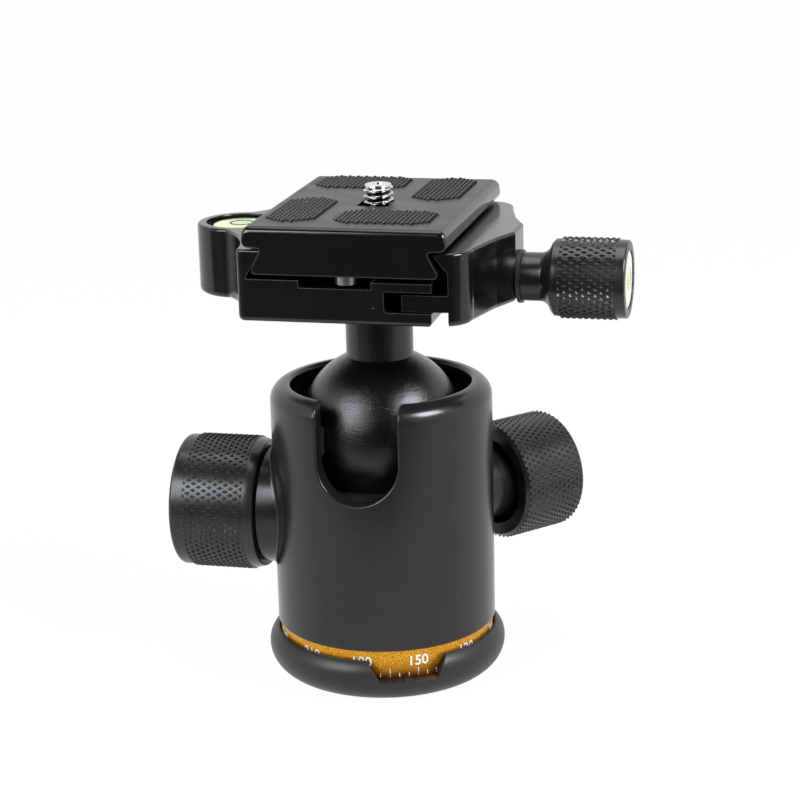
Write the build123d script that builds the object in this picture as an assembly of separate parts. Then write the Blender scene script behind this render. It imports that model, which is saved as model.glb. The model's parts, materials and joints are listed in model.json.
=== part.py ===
from build123d import *
from math import asin, cos, degrees, radians, sin, sqrt
import os

# Tripod ball head with a quick-release clamp.
# Millimetres. The pan axis is Z, the underside of the base is z = 0, and the notch
# for the 90 degree drop looks along -Y. The main lock knob is on -X.

# ---------------------------------------------------------------- clearances
run_gap = 0.05          # radial play of a piece that turns or slides in another
thread_gap = 0.03       # radial play of a piece that is screwed in
seat_gap = 0.05         # play of the ball in its seats
open_gap = 0.3          # free space beside a piece that moves past another
overrun = 1.0           # how far a cutter reaches past the face it cuts

# ---------------------------------------------------------------- base cup
base_lip = 2.25
base_height = 9.6
base_floor = 4.5
base_shoulder = 3.6     # height of the upper, tighter curve of the base's side
base_upper_round = 4.5
collar_gap = 0.35       # between the degree ring and the collar around it

window_azimuth = -66.0
window_depth = 4.2
window_sill_width = 12.6
window_top_width = 17.2
pointer_width = 1.8
pointer_height = 0.9

# ---------------------------------------------------------------- pan spindle
spindle_edge = 0.6      # of metal outside the spindle's screws
spindle_wall = 3.0
spindle_to_ball = 0.9   # free height between the spindle's mouth and the ball
spindle_web = 1.5
spigot_wall = 1.2
bush_wall = 1.6
bush_length = 12.0
tripod_thread_radius = 4.7625       # 3/8 inch tripod thread

spindle_screw_radius = 1.25
spindle_screw_head = 2.3
spindle_screw_length = 10.0
screw_sink = 0.3        # how far a countersunk head lies below its face

washer_thickness = 0.8
washer_margin = 1.8     # from the washer's rim to the wall of the housing's bore
circlip_thickness = 1.2
circlip_depth = 0.8
circlip_reach = 2.6
circlip_opening = 5.0

# ---------------------------------------------------------------- degree ring
ring_step = 0.5         # how far the ring lies inside the housing's outer face
ring_lift = 0.5
ring_screw_radius = 0.8
ring_screw_head = 1.5
ring_screw_length = 9.0
floor_ring_height = 9.7

# ---------------------------------------------------------------- housing
housing_room = 2.0      # between the ball and the housing's bore
housing_wall = 4.0
housing_lift = 2.0      # from the base's lip to the housing, where the ring shows
housing_height = 53.5
housing_foot_chamfer = 0.3
rim_lip = 0.5
rim_outer_round = 3.6
notch_play = 1.52       # beside the stem when it lies in the notch
notch_drop = 1.55       # of the notch's round end below the ball's centre
notch_round = 0.4

knob_drop = 18.7        # of both lock knobs' screws below the ball's centre
main_boss_radius = 12.8
main_boss_length = 1.6
main_boss_round = 1.2
pan_azimuth = 49.4
pan_neck_radius = 8.0
pan_neck_length = 9.0
pan_neck_round = 0.8

# ---------------------------------------------------------------- ball and its seats
ball_radius = 18.0
ball_depth = 10.8       # of the ball's centre below the housing's rim
upper_seat_drop = 1.5
upper_seat_rise = 4.2
cup_thickness = 3.0
wedge_ring_height = 3.2
support_thickness = 3.4
buffer_radius = 1.8
buffer_edge = 0.2
buffer_azimuths = (-110.0, -10.0, 110.0)

# ---------------------------------------------------------------- main lock
plunger_radius = 3.4
plunger_reach = 1.8
plunger_nose = 2.4
plunger_travel = 1.0
main_screw_radius = 3.0
main_screw_grip = 13.9
main_knob_radius = 14.86
main_knob_gap = 0.5
main_knob_length = 18.96
main_taper_length = 2.5
main_taper_drop = 0.86
main_knurl_length = 13.3
main_rim_step = 0.36
main_rim_round = 1.5
main_cap_border = 3.6
main_cap_thickness = 1.0

# ---------------------------------------------------------------- pan lock
shoe_radius = 3.2
shoe_reach = 2.0
shoe_travel = 0.8
pan_screw_radius = 2.5
pan_screw_grip = 5.0
pan_knob_radius = 13.3
pan_knob_length = 16.5
pan_knob_overlap = 3.0  # how far the knob's skirt reaches over the neck
pan_knob_chamfer = 1.0
pan_knob_round = 0.8
pan_recess_gap = 1.8
pan_recess_room = 4.0
pan_cap_border = 4.3
pan_cap_thickness = 1.0
cap_sink = 0.15

# ---------------------------------------------------------------- stem
stem_radius = 7.23
stem_length = 29.9      # from the ball's centre to the clamp
stem_shoulder = 2.73
stem_spigot_height = 1.8
stem_screw_radius = 2.5
stem_screw_head = 5.0
stem_screw_length = 17.0

# ---------------------------------------------------------------- clamp
clamp_length = 56.4
clamp_corner_round = 1.4
clamp_floor_height = 8.9
clamp_bottom_round = 1.2
clamp_top_round = 0.6
fixed_jaw_wall = 3.3
arm_setback = 3.2       # from the movable jaw's face back to the arms' ends
jaw_fit = 0.1           # sideways play between the fixed jaw and the plate
pocket_left = -9.5
pocket_right = 5.6
pocket_depth = 1.5
pocket_end = 16.0
fork_depth = 9.8
fork_lift = 2.8
fork_height = 4.3
fork_round = 0.6
screw_block_half = 7.5

ear_reach = 7.2
ear_radius = 9.5
ear_wall = 1.9
ear_blend_angle = 94.0
ear_blend_bow = 1.6
level_recess_depth = 6.7
level_case_wall = 1.5
level_vial_sink = 0.5
level_case_sink = 1.0

# ---------------------------------------------------------------- movable jaw
jaw_setback = 0.8       # of the jaw's ends from the clamp's ends
jaw_room = 1.9          # between the plate's dovetail and the open jaw
jaw_lip = 2.7
jaw_lip_height = 0.7
jaw_undercut = 0.2
jaw_depth = 9.5
jaw_boss_half = 4.5
jaw_hip_half = 11.2
jaw_step = 2.7          # each of the two facets' depth beside the boss
jaw_corner_run = 5.5
jaw_corner_length = 5.6
jaw_corner_bow = 1.6
jaw_top_round = 0.6
jaw_bottom_round = 1.2
tongue_room = 3.5
tongue_low_gap = 0.2
tongue_high_gap = 0.7

# ---------------------------------------------------------------- clamp knob
clamp_knob_height = 4.6
clamp_screw_radius = 2.5
clamp_screw_start = 5.0
clamp_screw_grip = 12.5
clamp_travel_in = 0.8
knob_washer_thickness = 0.8
knob_washer_border = 0.5
neck_radius = 5.1
neck_length = 4.0
flare_length = 2.3
flare_bow = 0.6
flange_bevel = 0.7
flange_length = 0.5
flange_step = 0.47
knurl_radius = 8.57
knurl_bevel = 0.9
knurl_length = 11.6
knob_rim_step = 0.37
knob_rim_length = 2.3
knob_rim_round = 0.8
knob_vial_border = 2.0
knob_vial_depth = 3.4
knob_vial_sink = 0.3

# ---------------------------------------------------------------- quick-release plate
plate_length = 57.0
plate_lift = 0.95       # of the plate's underside over the clamp's floor
dovetail_edge = 1.35
flank_height = 3.9
flank_run = 2.2
neck_rise = 0.35
flange_gap = 0.45       # between the clamp's top and the flange
flange_thickness = 4.35
flange_overhang = 4.05
plate_neck_half = 17.1
plate_corner_round = 2.0
flange_top_round = 1.6
flange_bottom_round = 1.2
dovetail_round = 0.9

slot_x = 0.4
slot_y = 3.6
slot_half = 3.85
slot_length = 18.8
counter_step = 3.45
counter_depth = 3.45

pad_shift_x = -0.7
pad_shift_y = 2.0
pad_inset_x = 3.5
pad_inset_y = 3.85
side_pad_width = 10.4
side_pad_gap = 0.25     # from the side pads' inner ends to the pads' own middle line
end_pad_width = 12.6
end_pad_inset = 13.95   # from the side of the pads' outline to an end pad's inner end
pad_depth = 0.8
pad_proud = 0.5
pad_gap = 0.05
pad_round = 4.6

stop_inset = 3.0
stop_head_radius = 2.4
stop_head_height = 1.75
stop_screw_radius = 1.25
stop_screw_length = 5.0

camera_screw_y = 0.8
camera_thread_radius = 3.175        # 1/4 inch camera thread
camera_screw_rise = 3.7
camera_neck_radius = 2.6
camera_neck_length = 1.9
camera_head_gap = 0.8
camera_head_lift = 0.2
camera_head_height = 2.45
coin_slot_width = 1.4
coin_slot_depth = 1.0
tip_slot_width = 0.9
tip_slot_depth = 0.9
tip_chamfer = 0.4

# ---------------------------------------------------------------- heights and places that follow
window_sill = base_height - window_depth
base_lower_round = base_height - base_shoulder
housing_bottom = base_height + housing_lift
housing_bore = ball_radius + housing_room
housing_radius = housing_bore + housing_wall
rim_top = housing_bottom + housing_height
rim_bore = housing_bore - rim_lip
rim_inner_round = housing_radius - rim_bore - rim_outer_round
ring_radius = housing_radius - ring_step
ring_bottom = base_floor + ring_lift
collar_bore = ring_radius + collar_gap
base_radius = collar_bore + base_lip

bush_radius = tripod_thread_radius + bush_wall
spigot_radius = bush_radius + spigot_wall
spindle_screw_circle = spigot_radius + spindle_screw_head + open_gap
spindle_radius = spindle_screw_circle + spindle_screw_radius + spindle_edge
spindle_bore = spindle_radius - spindle_wall

ball_z = rim_top - ball_depth
knob_z = ball_z - knob_drop
notch_half = stem_radius + notch_play
notch_centre_z = ball_z - notch_drop
notch_bottom = notch_centre_z - notch_half
main_boss_end = housing_radius + main_boss_length
pan_neck_end = housing_radius + pan_neck_length

seat_radius = ball_radius + seat_gap
upper_seat_bottom = ball_z - upper_seat_drop
upper_seat_top = ball_z + upper_seat_rise
cup_top = notch_bottom
cup_bottom = cup_top - cup_thickness
cup_bore = spindle_radius + run_gap + open_gap
wedge_ring_radius = housing_bore - open_gap
wedge_ring_bottom = cup_bottom - wedge_ring_height
support_top = knob_z - plunger_radius - open_gap
support_bottom = support_top - support_thickness
buffer_circle = cup_bore + buffer_edge + buffer_radius

spindle_top = ball_z - sqrt(ball_radius**2 - spindle_bore**2) - spindle_to_ball
web_top = bush_length + spindle_web
floor_ring_bottom = base_floor + washer_thickness
floor_ring_top = floor_ring_bottom + floor_ring_height
upper_washer_top = floor_ring_top + washer_thickness
washer_radius = housing_bore - washer_margin
circlip_radius = spindle_radius + circlip_reach

plunger_back = housing_bore + plunger_reach
plunger_top_z = knob_z + plunger_radius
plunger_cone_start = wedge_ring_radius - (cup_bottom - plunger_top_z) + seat_gap
plunger_tip = plunger_cone_start - plunger_nose
plunger_step = plunger_back + plunger_travel + open_gap
main_knob_inner = main_boss_end + main_knob_gap
main_knob_outer = main_knob_inner + main_knob_length
main_knurl_start = main_knob_inner + main_taper_length
main_knurl_end = main_knurl_start + main_knurl_length
main_screw_end = main_knob_inner + main_screw_grip
main_taper_radius = main_knob_radius - main_taper_drop
main_rim_radius = main_knob_radius - main_rim_step
main_cap_radius = main_rim_radius - main_cap_border
main_cap_floor = main_knob_outer - cap_sink - main_cap_thickness

shoe_back = housing_bore + shoe_reach
shoe_step = shoe_back + shoe_travel + open_gap
pan_knob_inner = pan_neck_end - pan_knob_overlap
pan_knob_outer = pan_knob_inner + pan_knob_length
pan_recess_radius = pan_neck_radius + pan_recess_gap
pan_recess_end = pan_neck_end + pan_recess_room
pan_screw_end = pan_recess_end + pan_screw_grip
pan_cap_radius = pan_knob_radius - pan_cap_border
pan_cap_floor = pan_knob_outer - cap_sink - pan_cap_thickness

stem_top = ball_z + stem_length
stem_spigot_radius = stem_radius - stem_shoulder
clamp_floor = stem_top + clamp_floor_height
plate_underside = clamp_floor + plate_lift
flank_bottom = plate_underside + dovetail_edge
flank_top = flank_bottom + flank_height
flange_underside = flank_top + neck_rise
plate_top = flange_underside + flange_thickness
clamp_top = flange_underside - flange_gap
dovetail_half = plate_neck_half + flank_run
plate_half_width = plate_neck_half + flange_overhang
plate_half_length = plate_length / 2
flank_slope = flank_run / flank_height

clamp_half_length = clamp_length / 2
clamp_left = dovetail_half + fixed_jaw_wall
jaw_face = dovetail_half + jaw_room
jaw_nose = jaw_face - jaw_lip
jaw_flank_bottom = flank_bottom - jaw_undercut
jaw_flank_top = clamp_top - jaw_lip_height
jaw_half_length = clamp_half_length - jaw_setback
jaw_boss_x = jaw_face + jaw_depth
jaw_hip_x = jaw_boss_x - jaw_step
jaw_corner_x = jaw_hip_x - jaw_step
jaw_corner_start = jaw_corner_x - jaw_corner_run
jaw_corner_y = jaw_half_length - jaw_corner_length
clamp_arm_end = jaw_face - arm_setback
fork_left = clamp_arm_end - fork_depth
fork_bottom = stem_top + fork_lift
fork_top = fork_bottom + fork_height
tongue_end = fork_left + tongue_room
tongue_bottom = fork_bottom + tongue_low_gap
tongue_top = fork_top - tongue_high_gap
ear_x = -clamp_left - ear_reach
level_recess_radius = ear_radius - ear_wall
level_recess_bottom = clamp_top - level_recess_depth
level_vial_radius = level_recess_radius - level_case_wall
level_vial_top = clamp_top - level_vial_sink
level_case_top = clamp_top - level_case_sink

clamp_knob_z = stem_top + clamp_knob_height
knob_inner = jaw_boss_x + knob_washer_thickness
knob_washer_radius = neck_radius + knob_washer_border
neck_end = knob_inner + neck_length
flare_end = neck_end + flare_length
flange_radius = knurl_radius - flange_step
flare_radius = flange_radius - flange_bevel
flange_end = flare_end + flange_bevel + flange_length
knurl_start = flange_end + knurl_bevel
knurl_end = knurl_start + knurl_length
knob_rim_radius = knurl_radius - knob_rim_step
clamp_knob_outer = knurl_end + knob_rim_length
knob_vial_radius = knob_rim_radius - knob_vial_border
knob_vial_bottom = clamp_knob_outer - knob_vial_depth
clamp_screw_end = knob_inner + clamp_screw_grip

counter_half = slot_half + counter_step
counter_top = plate_underside + counter_depth
camera_head_radius = counter_half - camera_head_gap
camera_head_bottom = plate_underside + camera_head_lift
camera_head_top = camera_head_bottom + camera_head_height
camera_neck_top = camera_head_top + camera_neck_length
camera_screw_top = plate_top + camera_screw_rise
stop_y = plate_half_length - stop_inset
stop_head_bottom = plate_underside - stop_head_height
pads_half_x = plate_half_width - pad_inset_x
pads_half_y = plate_half_length - pad_inset_y

LOW = (Align.CENTER, Align.CENTER, Align.MIN)

# Working frames: local Z runs outward along each knob's screw.
main_line = Plane(origin=(0, 0, knob_z), x_dir=(0, 1, 0), z_dir=(-1, 0, 0))
pan_line = Plane(
    origin=(0, 0, knob_z),
    x_dir=(-sin(radians(pan_azimuth)), cos(radians(pan_azimuth)), 0),
    z_dir=(cos(radians(pan_azimuth)), sin(radians(pan_azimuth)), 0),
)
clamp_line = Plane(origin=(0, 0, clamp_knob_z), x_dir=(0, 1, 0), z_dir=(1, 0, 0))


# ---------------------------------------------------------------- helpers
def disc(radius, bottom, top):
    """Cylinder about local Z between two heights."""
    return Pos(0, 0, bottom) * Cylinder(radius, top - bottom, align=LOW)


def ring(outer, inner, bottom, top):
    """Flat ring about local Z between two heights."""
    return disc(outer, bottom, top) - disc(inner, bottom, top)


def turned(*edges):
    """Solid of revolution about local Z from an outline of (radius, height) edges."""
    return revolve(Plane.XZ * make_face(Curve() + list(edges)), axis=Axis.Z)


def turned_points(*points):
    """Solid of revolution about local Z from an outline of (radius, height) points."""
    return revolve(Plane.XZ * make_face(Polyline(*points, close=True)), axis=Axis.Z)


def long_y(points, half_length):
    """Bar along Y with the given (x, z) outline."""
    return extrude(Plane.XZ * make_face(Polyline(*points, close=True)), half_length, both=True)


def block(x0, y0, z0, x1, y1, z1):
    """Box between two opposite corners."""
    centre = ((x0 + x1) / 2, (y0 + y1) / 2, (z0 + z1) / 2)
    return Pos(*centre) * Box(x1 - x0, y1 - y0, z1 - z0)


def flat_screw(radius, head_radius, length, grow=0.0):
    """Countersunk screw, head at z = 0, pointing up; grow makes its hole."""
    head_height = head_radius - radius
    return turned_points(
        (0, 0),
        (head_radius + grow, 0),
        (radius + grow, head_height),
        (radius + grow, length + grow),
        (0, length + grow),
    )


def around(shape, circle, azimuths):
    """Copies of a shape at the given azimuths on a circle about Z."""
    return [Rot(0, 0, azimuth) * Pos(circle, 0, 0) * shape for azimuth in azimuths]


parts = {}

# ---------------------------------------------------------------- base cup
upper_angle = degrees(asin(base_shoulder / base_upper_round))
foot_radius = base_radius - base_lower_round
shoulder_radius = base_radius - base_upper_round
lip_radius = shoulder_radius + base_upper_round * cos(radians(upper_angle))
base_cup = turned(
    Line((0, 0), (foot_radius, 0)),
    CenterArc((foot_radius, base_lower_round), base_lower_round, -90, 90),
    CenterArc((shoulder_radius, base_lower_round), base_upper_round, 0, upper_angle),
    Line((lip_radius, base_height), (collar_bore, base_height)),
    Line((collar_bore, base_height), (collar_bore, base_floor)),
    Line((collar_bore, base_floor), (0, base_floor)),
    Line((0, base_floor), (0, 0)),
)
window = extrude(
    Plane.YZ
    * make_face(
        Polyline(
            (-window_sill_width / 2, window_sill),
            (window_sill_width / 2, window_sill),
            (window_top_width / 2, base_height),
            (window_top_width / 2, base_height + overrun),
            (-window_top_width / 2, base_height + overrun),
            (-window_top_width / 2, base_height),
            close=True,
        )
    ),
    base_radius + overrun,
)
pointer = Pos(collar_bore, 0, 0) * extrude(
    Plane.YZ
    * make_face(
        Polyline(
            (-pointer_width / 2, window_sill - pointer_height),
            (pointer_width / 2, window_sill - pointer_height),
            (pointer_width / 2, window_sill),
            (0, window_sill + pointer_height),
            (-pointer_width / 2, window_sill),
            close=True,
        )
    ),
    base_radius - collar_bore - pointer_height / 2,
)
base_cup -= Rot(0, 0, window_azimuth) * window
base_cup += Rot(0, 0, window_azimuth) * pointer
base_cup -= disc(spigot_radius + thread_gap, 0, base_floor)
spindle_screw = flat_screw(spindle_screw_radius, spindle_screw_head, spindle_screw_length)
spindle_screw_hole = flat_screw(
    spindle_screw_radius, spindle_screw_head, spindle_screw_length, thread_gap
)
spindle_screw_azimuths = (0, 120, 240)
screw_holes = around(
    Pos(0, 0, screw_sink) * spindle_screw_hole, spindle_screw_circle, spindle_screw_azimuths
)
screw_mouths = around(
    disc(spindle_screw_head + thread_gap, 0, screw_sink),
    spindle_screw_circle,
    spindle_screw_azimuths,
)
for hole in screw_holes + screw_mouths:
    base_cup -= hole
parts["base_cup"] = base_cup

# ---------------------------------------------------------------- pan spindle
spindle = disc(spindle_radius, base_floor, spindle_top) + disc(spigot_radius, 0, base_floor)
spindle -= disc(bush_radius, 0, bush_length)
spindle -= disc(tripod_thread_radius + open_gap, bush_length, web_top)
spindle -= disc(spindle_bore, web_top, spindle_top)
spindle -= ring(
    spindle_radius + overrun,
    spindle_radius - circlip_depth,
    upper_washer_top,
    upper_washer_top + circlip_thickness,
)
for hole in screw_holes:
    spindle -= hole
parts["pan_spindle"] = spindle
parts["spindle_screws"] = Compound(
    around(Pos(0, 0, screw_sink) * spindle_screw, spindle_screw_circle, spindle_screw_azimuths)
)
parts["tripod_bush"] = ring(bush_radius - thread_gap, tripod_thread_radius, 0, bush_length)
parts["thrust_washer_lower"] = ring(
    washer_radius, spindle_radius + open_gap, base_floor, floor_ring_bottom
)
parts["thrust_washer_upper"] = ring(
    washer_radius, spindle_radius + open_gap, floor_ring_top, upper_washer_top
)
circlip = ring(
    circlip_radius,
    spindle_radius - circlip_depth + thread_gap,
    upper_washer_top,
    upper_washer_top + circlip_thickness,
)
circlip -= block(
    0,
    -circlip_opening / 2,
    upper_washer_top,
    circlip_radius + overrun,
    circlip_opening / 2,
    upper_washer_top + circlip_thickness,
)
parts["circlip"] = circlip

# ---------------------------------------------------------------- degree ring
parts["floor_ring"] = ring(
    housing_bore - thread_gap, spindle_radius + run_gap, floor_ring_bottom, floor_ring_top
)
ring_screw_circle = (ring_radius + housing_bore) / 2
ring_screw = flat_screw(ring_screw_radius, ring_screw_head, ring_screw_length)
ring_screw_hole = flat_screw(ring_screw_radius, ring_screw_head, ring_screw_length, thread_gap)
ring_screw_azimuths = (30, 150, 270)
ring_screw_holes = around(
    Pos(0, 0, ring_bottom) * ring_screw_hole, ring_screw_circle, ring_screw_azimuths
)
degree_ring = ring(ring_radius, housing_bore, ring_bottom, housing_bottom)
for hole in ring_screw_holes:
    degree_ring -= hole
parts["degree_ring"] = degree_ring
parts["ring_screws"] = Compound(
    around(Pos(0, 0, ring_bottom) * ring_screw, ring_screw_circle, ring_screw_azimuths)
)

# ---------------------------------------------------------------- housing
rim_crown = housing_radius - rim_outer_round
housing = turned(
    Line((0, housing_bottom), (housing_radius - housing_foot_chamfer, housing_bottom)),
    Line(
        (housing_radius - housing_foot_chamfer, housing_bottom),
        (housing_radius, housing_bottom + housing_foot_chamfer),
    ),
    Line(
        (housing_radius, housing_bottom + housing_foot_chamfer),
        (housing_radius, rim_top - rim_outer_round),
    ),
    CenterArc((rim_crown, rim_top - rim_outer_round), rim_outer_round, 0, 90),
    CenterArc((rim_crown, rim_top - rim_inner_round), rim_inner_round, 90, 90),
    Line((rim_bore, rim_top - rim_inner_round), (rim_bore, upper_seat_top)),
    Line((rim_bore, upper_seat_top), (0, upper_seat_top)),
    Line((0, upper_seat_top), (0, housing_bottom)),
)
main_boss = main_line * disc(main_boss_radius, 0, main_boss_end)
pan_neck = pan_line * disc(pan_neck_radius, 0, pan_neck_end)


def joint_edges(solid, line, radius, limit):
    """Edges where a round boss of the given radius meets the housing."""
    found = []
    for edge in solid.edges():
        middle = line.to_local_coords(edge @ 0.5)
        reach = sqrt(middle.X**2 + middle.Y**2)
        if abs(reach - radius) < run_gap and 0 < middle.Z < limit:
            found.append(edge)
    return found


housing += main_boss
housing = fillet(
    joint_edges(housing, main_line, main_boss_radius, main_boss_end - run_gap), main_boss_round
)
housing += pan_neck
housing = fillet(
    joint_edges(housing, pan_line, pan_neck_radius, pan_neck_end - run_gap), pan_neck_round
)
housing -= disc(housing_bore, housing_bottom, upper_seat_top)
housing -= main_line * disc(plunger_radius + run_gap, 0, plunger_step)
housing -= main_line * disc(main_screw_radius + run_gap, plunger_step, main_boss_end)
housing -= pan_line * disc(shoe_radius + run_gap, 0, shoe_step)
housing -= pan_line * disc(pan_screw_radius + run_gap, shoe_step, pan_neck_end)
notch = extrude(
    Plane.XZ
    * (
        Pos(0, notch_centre_z) * Circle(notch_half)
        + Pos(0, notch_centre_z) * Rectangle(2 * notch_half, rim_top, align=(Align.CENTER, Align.MIN))
    ),
    housing_radius + overrun,
)
housing -= notch


def notch_edges(solid):
    """Outer edges of the notch: round its end, up its sides and over the rim."""
    found = []
    for edge in solid.edges():
        middle = edge @ 0.5
        reach = sqrt(middle.X**2 + middle.Y**2)
        at_end = abs(middle.Z - notch_bottom) < run_gap
        at_side = middle.Z > notch_centre_z + run_gap and abs(abs(middle.X) - notch_half) < run_gap
        on_rim = middle.Z > rim_top - rim_outer_round and reach > rim_bore + run_gap
        if middle.Y < 0 and (at_end or at_side) and (reach > housing_radius - run_gap or on_rim):
            found.append(edge)
    return found


housing = fillet(notch_edges(housing), notch_round)
for hole in ring_screw_holes:
    housing -= hole
parts["housing"] = housing

# ---------------------------------------------------------------- ball and its seats
ball_space = Pos(0, 0, ball_z) * Sphere(seat_radius)
parts["ball"] = Pos(0, 0, ball_z) * Sphere(ball_radius)
parts["seat_upper"] = (
    disc(housing_bore - thread_gap, upper_seat_bottom, upper_seat_top) - ball_space - notch
)
parts["seat_lower"] = ring(housing_bore - run_gap, cup_bore, cup_bottom, cup_top) - ball_space
shoe_path = pan_line * disc(shoe_radius + open_gap, 0, housing_bore)
parts["wedge_ring"] = (
    turned_points(
        (cup_bore, wedge_ring_bottom),
        (wedge_ring_radius - wedge_ring_height, wedge_ring_bottom),
        (wedge_ring_radius, cup_bottom),
        (cup_bore, cup_bottom),
    )
    - shoe_path
)
parts["support_ring"] = ring(
    housing_bore - thread_gap, spindle_radius + open_gap, support_bottom, support_top
)
parts["cup_buffers"] = Compound(
    around(disc(buffer_radius, support_top, wedge_ring_bottom), buffer_circle, buffer_azimuths)
)

# ---------------------------------------------------------------- main lock
parts["lock_plunger"] = main_line * turned_points(
    (0, plunger_tip),
    (plunger_radius - plunger_nose, plunger_tip),
    (plunger_radius, plunger_cone_start),
    (plunger_radius, plunger_back),
    (0, plunger_back),
)
main_knob = turned(
    Line((0, main_knob_inner), (main_taper_radius, main_knob_inner)),
    Line((main_taper_radius, main_knob_inner), (main_knob_radius, main_knurl_start)),
    Line((main_knob_radius, main_knurl_start), (main_knob_radius, main_knurl_end)),
    Line(
        (main_knob_radius, main_knurl_end),
        (main_rim_radius, main_knurl_end + main_rim_step),
    ),
    Line(
        (main_rim_radius, main_knurl_end + main_rim_step),
        (main_rim_radius, main_knob_outer - main_rim_round),
    ),
    CenterArc(
        (main_rim_radius - main_rim_round, main_knob_outer - main_rim_round),
        main_rim_round,
        0,
        90,
    ),
    Line((main_rim_radius - main_rim_round, main_knob_outer), (0, main_knob_outer)),
    Line((0, main_knob_outer), (0, main_knob_inner)),
)
main_knob -= disc(main_screw_radius + thread_gap, main_knob_inner, main_screw_end)
main_knob -= disc(main_cap_radius + thread_gap, main_cap_floor, main_knob_outer)
parts["main_knob"] = main_line * main_knob
parts["main_knob_screw"] = main_line * disc(main_screw_radius, plunger_back, main_screw_end)
parts["main_knob_cap"] = main_line * disc(
    main_cap_radius, main_cap_floor, main_cap_floor + main_cap_thickness
)

# ---------------------------------------------------------------- pan lock
spindle_space = disc(spindle_radius + run_gap, 0, spindle_top + overrun)
parts["pan_shoe"] = pan_line * disc(shoe_radius, 0, shoe_back) - spindle_space
pan_knob = turned(
    Line(
        (pan_recess_radius, pan_knob_inner), (pan_knob_radius - pan_knob_chamfer, pan_knob_inner)
    ),
    Line(
        (pan_knob_radius - pan_knob_chamfer, pan_knob_inner),
        (pan_knob_radius, pan_knob_inner + pan_knob_chamfer),
    ),
    Line(
        (pan_knob_radius, pan_knob_inner + pan_knob_chamfer),
        (pan_knob_radius, pan_knob_outer - pan_knob_round),
    ),
    CenterArc(
        (pan_knob_radius - pan_knob_round, pan_knob_outer - pan_knob_round),
        pan_knob_round,
        0,
        90,
    ),
    Line((pan_knob_radius - pan_knob_round, pan_knob_outer), (0, pan_knob_outer)),
    Line((0, pan_knob_outer), (0, pan_recess_end)),
    Line((0, pan_recess_end), (pan_recess_radius, pan_recess_end)),
    Line((pan_recess_radius, pan_recess_end), (pan_recess_radius, pan_knob_inner)),
)
pan_knob -= disc(pan_screw_radius + thread_gap, pan_recess_end, pan_screw_end)
pan_knob -= disc(pan_cap_radius + thread_gap, pan_cap_floor, pan_knob_outer)
parts["pan_knob"] = pan_line * pan_knob
parts["pan_knob_screw"] = pan_line * disc(pan_screw_radius, shoe_back, pan_screw_end)
parts["pan_knob_cap"] = pan_line * disc(
    pan_cap_radius, pan_cap_floor, pan_cap_floor + pan_cap_thickness
)

# ---------------------------------------------------------------- stem
stem_screw_z = clamp_floor - screw_sink
stem_screw = Pos(0, 0, stem_screw_z) * Rot(180, 0, 0) * flat_screw(
    stem_screw_radius, stem_screw_head, stem_screw_length
)
stem_screw_hole = Pos(0, 0, stem_screw_z) * Rot(180, 0, 0) * flat_screw(
    stem_screw_radius, stem_screw_head, stem_screw_length, run_gap
)
stem = disc(stem_radius, ball_z, stem_top)
stem += disc(stem_spigot_radius, stem_top, stem_top + stem_spigot_height)
parts["stem"] = stem - ball_space - stem_screw_hole
parts["stem_screw"] = stem_screw

# ---------------------------------------------------------------- clamp
blend = radians(ear_blend_angle)
blend_x = ear_x + ear_radius * cos(blend)
blend_y = ear_radius * sin(blend)
corner_x = clamp_corner_round - clamp_left
corner_y = clamp_half_length - clamp_corner_round
clamp_outline = Curve() + [
    Line((clamp_arm_end, -clamp_half_length), (corner_x, -clamp_half_length)),
    CenterArc((corner_x, -corner_y), clamp_corner_round, 180, 90),
    SagittaArc((-clamp_left, -corner_y), (blend_x, -blend_y), -ear_blend_bow),
    CenterArc((ear_x, 0), ear_radius, ear_blend_angle, 360 - 2 * ear_blend_angle),
    SagittaArc((blend_x, blend_y), (-clamp_left, corner_y), -ear_blend_bow),
    CenterArc((corner_x, corner_y), clamp_corner_round, 90, 90),
    Line((corner_x, clamp_half_length), (clamp_arm_end, clamp_half_length)),
    Line((clamp_arm_end, clamp_half_length), (clamp_arm_end, -clamp_half_length)),
]
clamp_body = Pos(0, 0, stem_top) * extrude(make_face(clamp_outline), clamp_top - stem_top)
clamp_body = fillet(clamp_body.faces().sort_by(Axis.Z)[0].edges(), clamp_bottom_round)
clamp_body = fillet(clamp_body.faces().sort_by(Axis.Z)[-1].edges(), clamp_top_round)


def fixed_flank(z):
    """x of the fixed jaw's flank at a height, a small play off the plate's flank."""
    return -(plate_neck_half + (flank_top - z) * flank_slope + jaw_fit)


channel = long_y(
    (
        (fixed_flank(clamp_floor), clamp_floor),
        (clamp_arm_end + overrun, clamp_floor),
        (clamp_arm_end + overrun, clamp_top + overrun),
        (fixed_flank(flank_top), clamp_top + overrun),
        (fixed_flank(flank_top), flank_top),
    ),
    clamp_half_length + overrun,
)
clamp_body -= channel
for side in (-1, 1):
    near = side * pocket_end
    far = side * (clamp_half_length + overrun)
    clamp_body -= block(
        pocket_left,
        min(near, far),
        clamp_floor - pocket_depth,
        pocket_right,
        max(near, far),
        clamp_floor,
    )
    near = side * screw_block_half
    fork = block(
        fork_left,
        min(near, far),
        fork_bottom,
        clamp_arm_end + overrun,
        max(near, far),
        fork_top,
    )
    fork = fillet(fork.faces().sort_by(Axis.X)[0].edges().filter_by(Axis.Y), fork_round)
    clamp_body -= fork
clamp_body -= stem_screw_hole
clamp_body -= disc(stem_screw_head + run_gap, stem_screw_z, clamp_floor)
clamp_body -= disc(stem_spigot_radius + run_gap, stem_top, stem_top + stem_spigot_height)
screw_hole_start = clamp_screw_start - clamp_travel_in - open_gap
clamp_body -= clamp_line * disc(
    clamp_screw_radius + run_gap, screw_hole_start, clamp_arm_end + overrun
)
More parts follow.
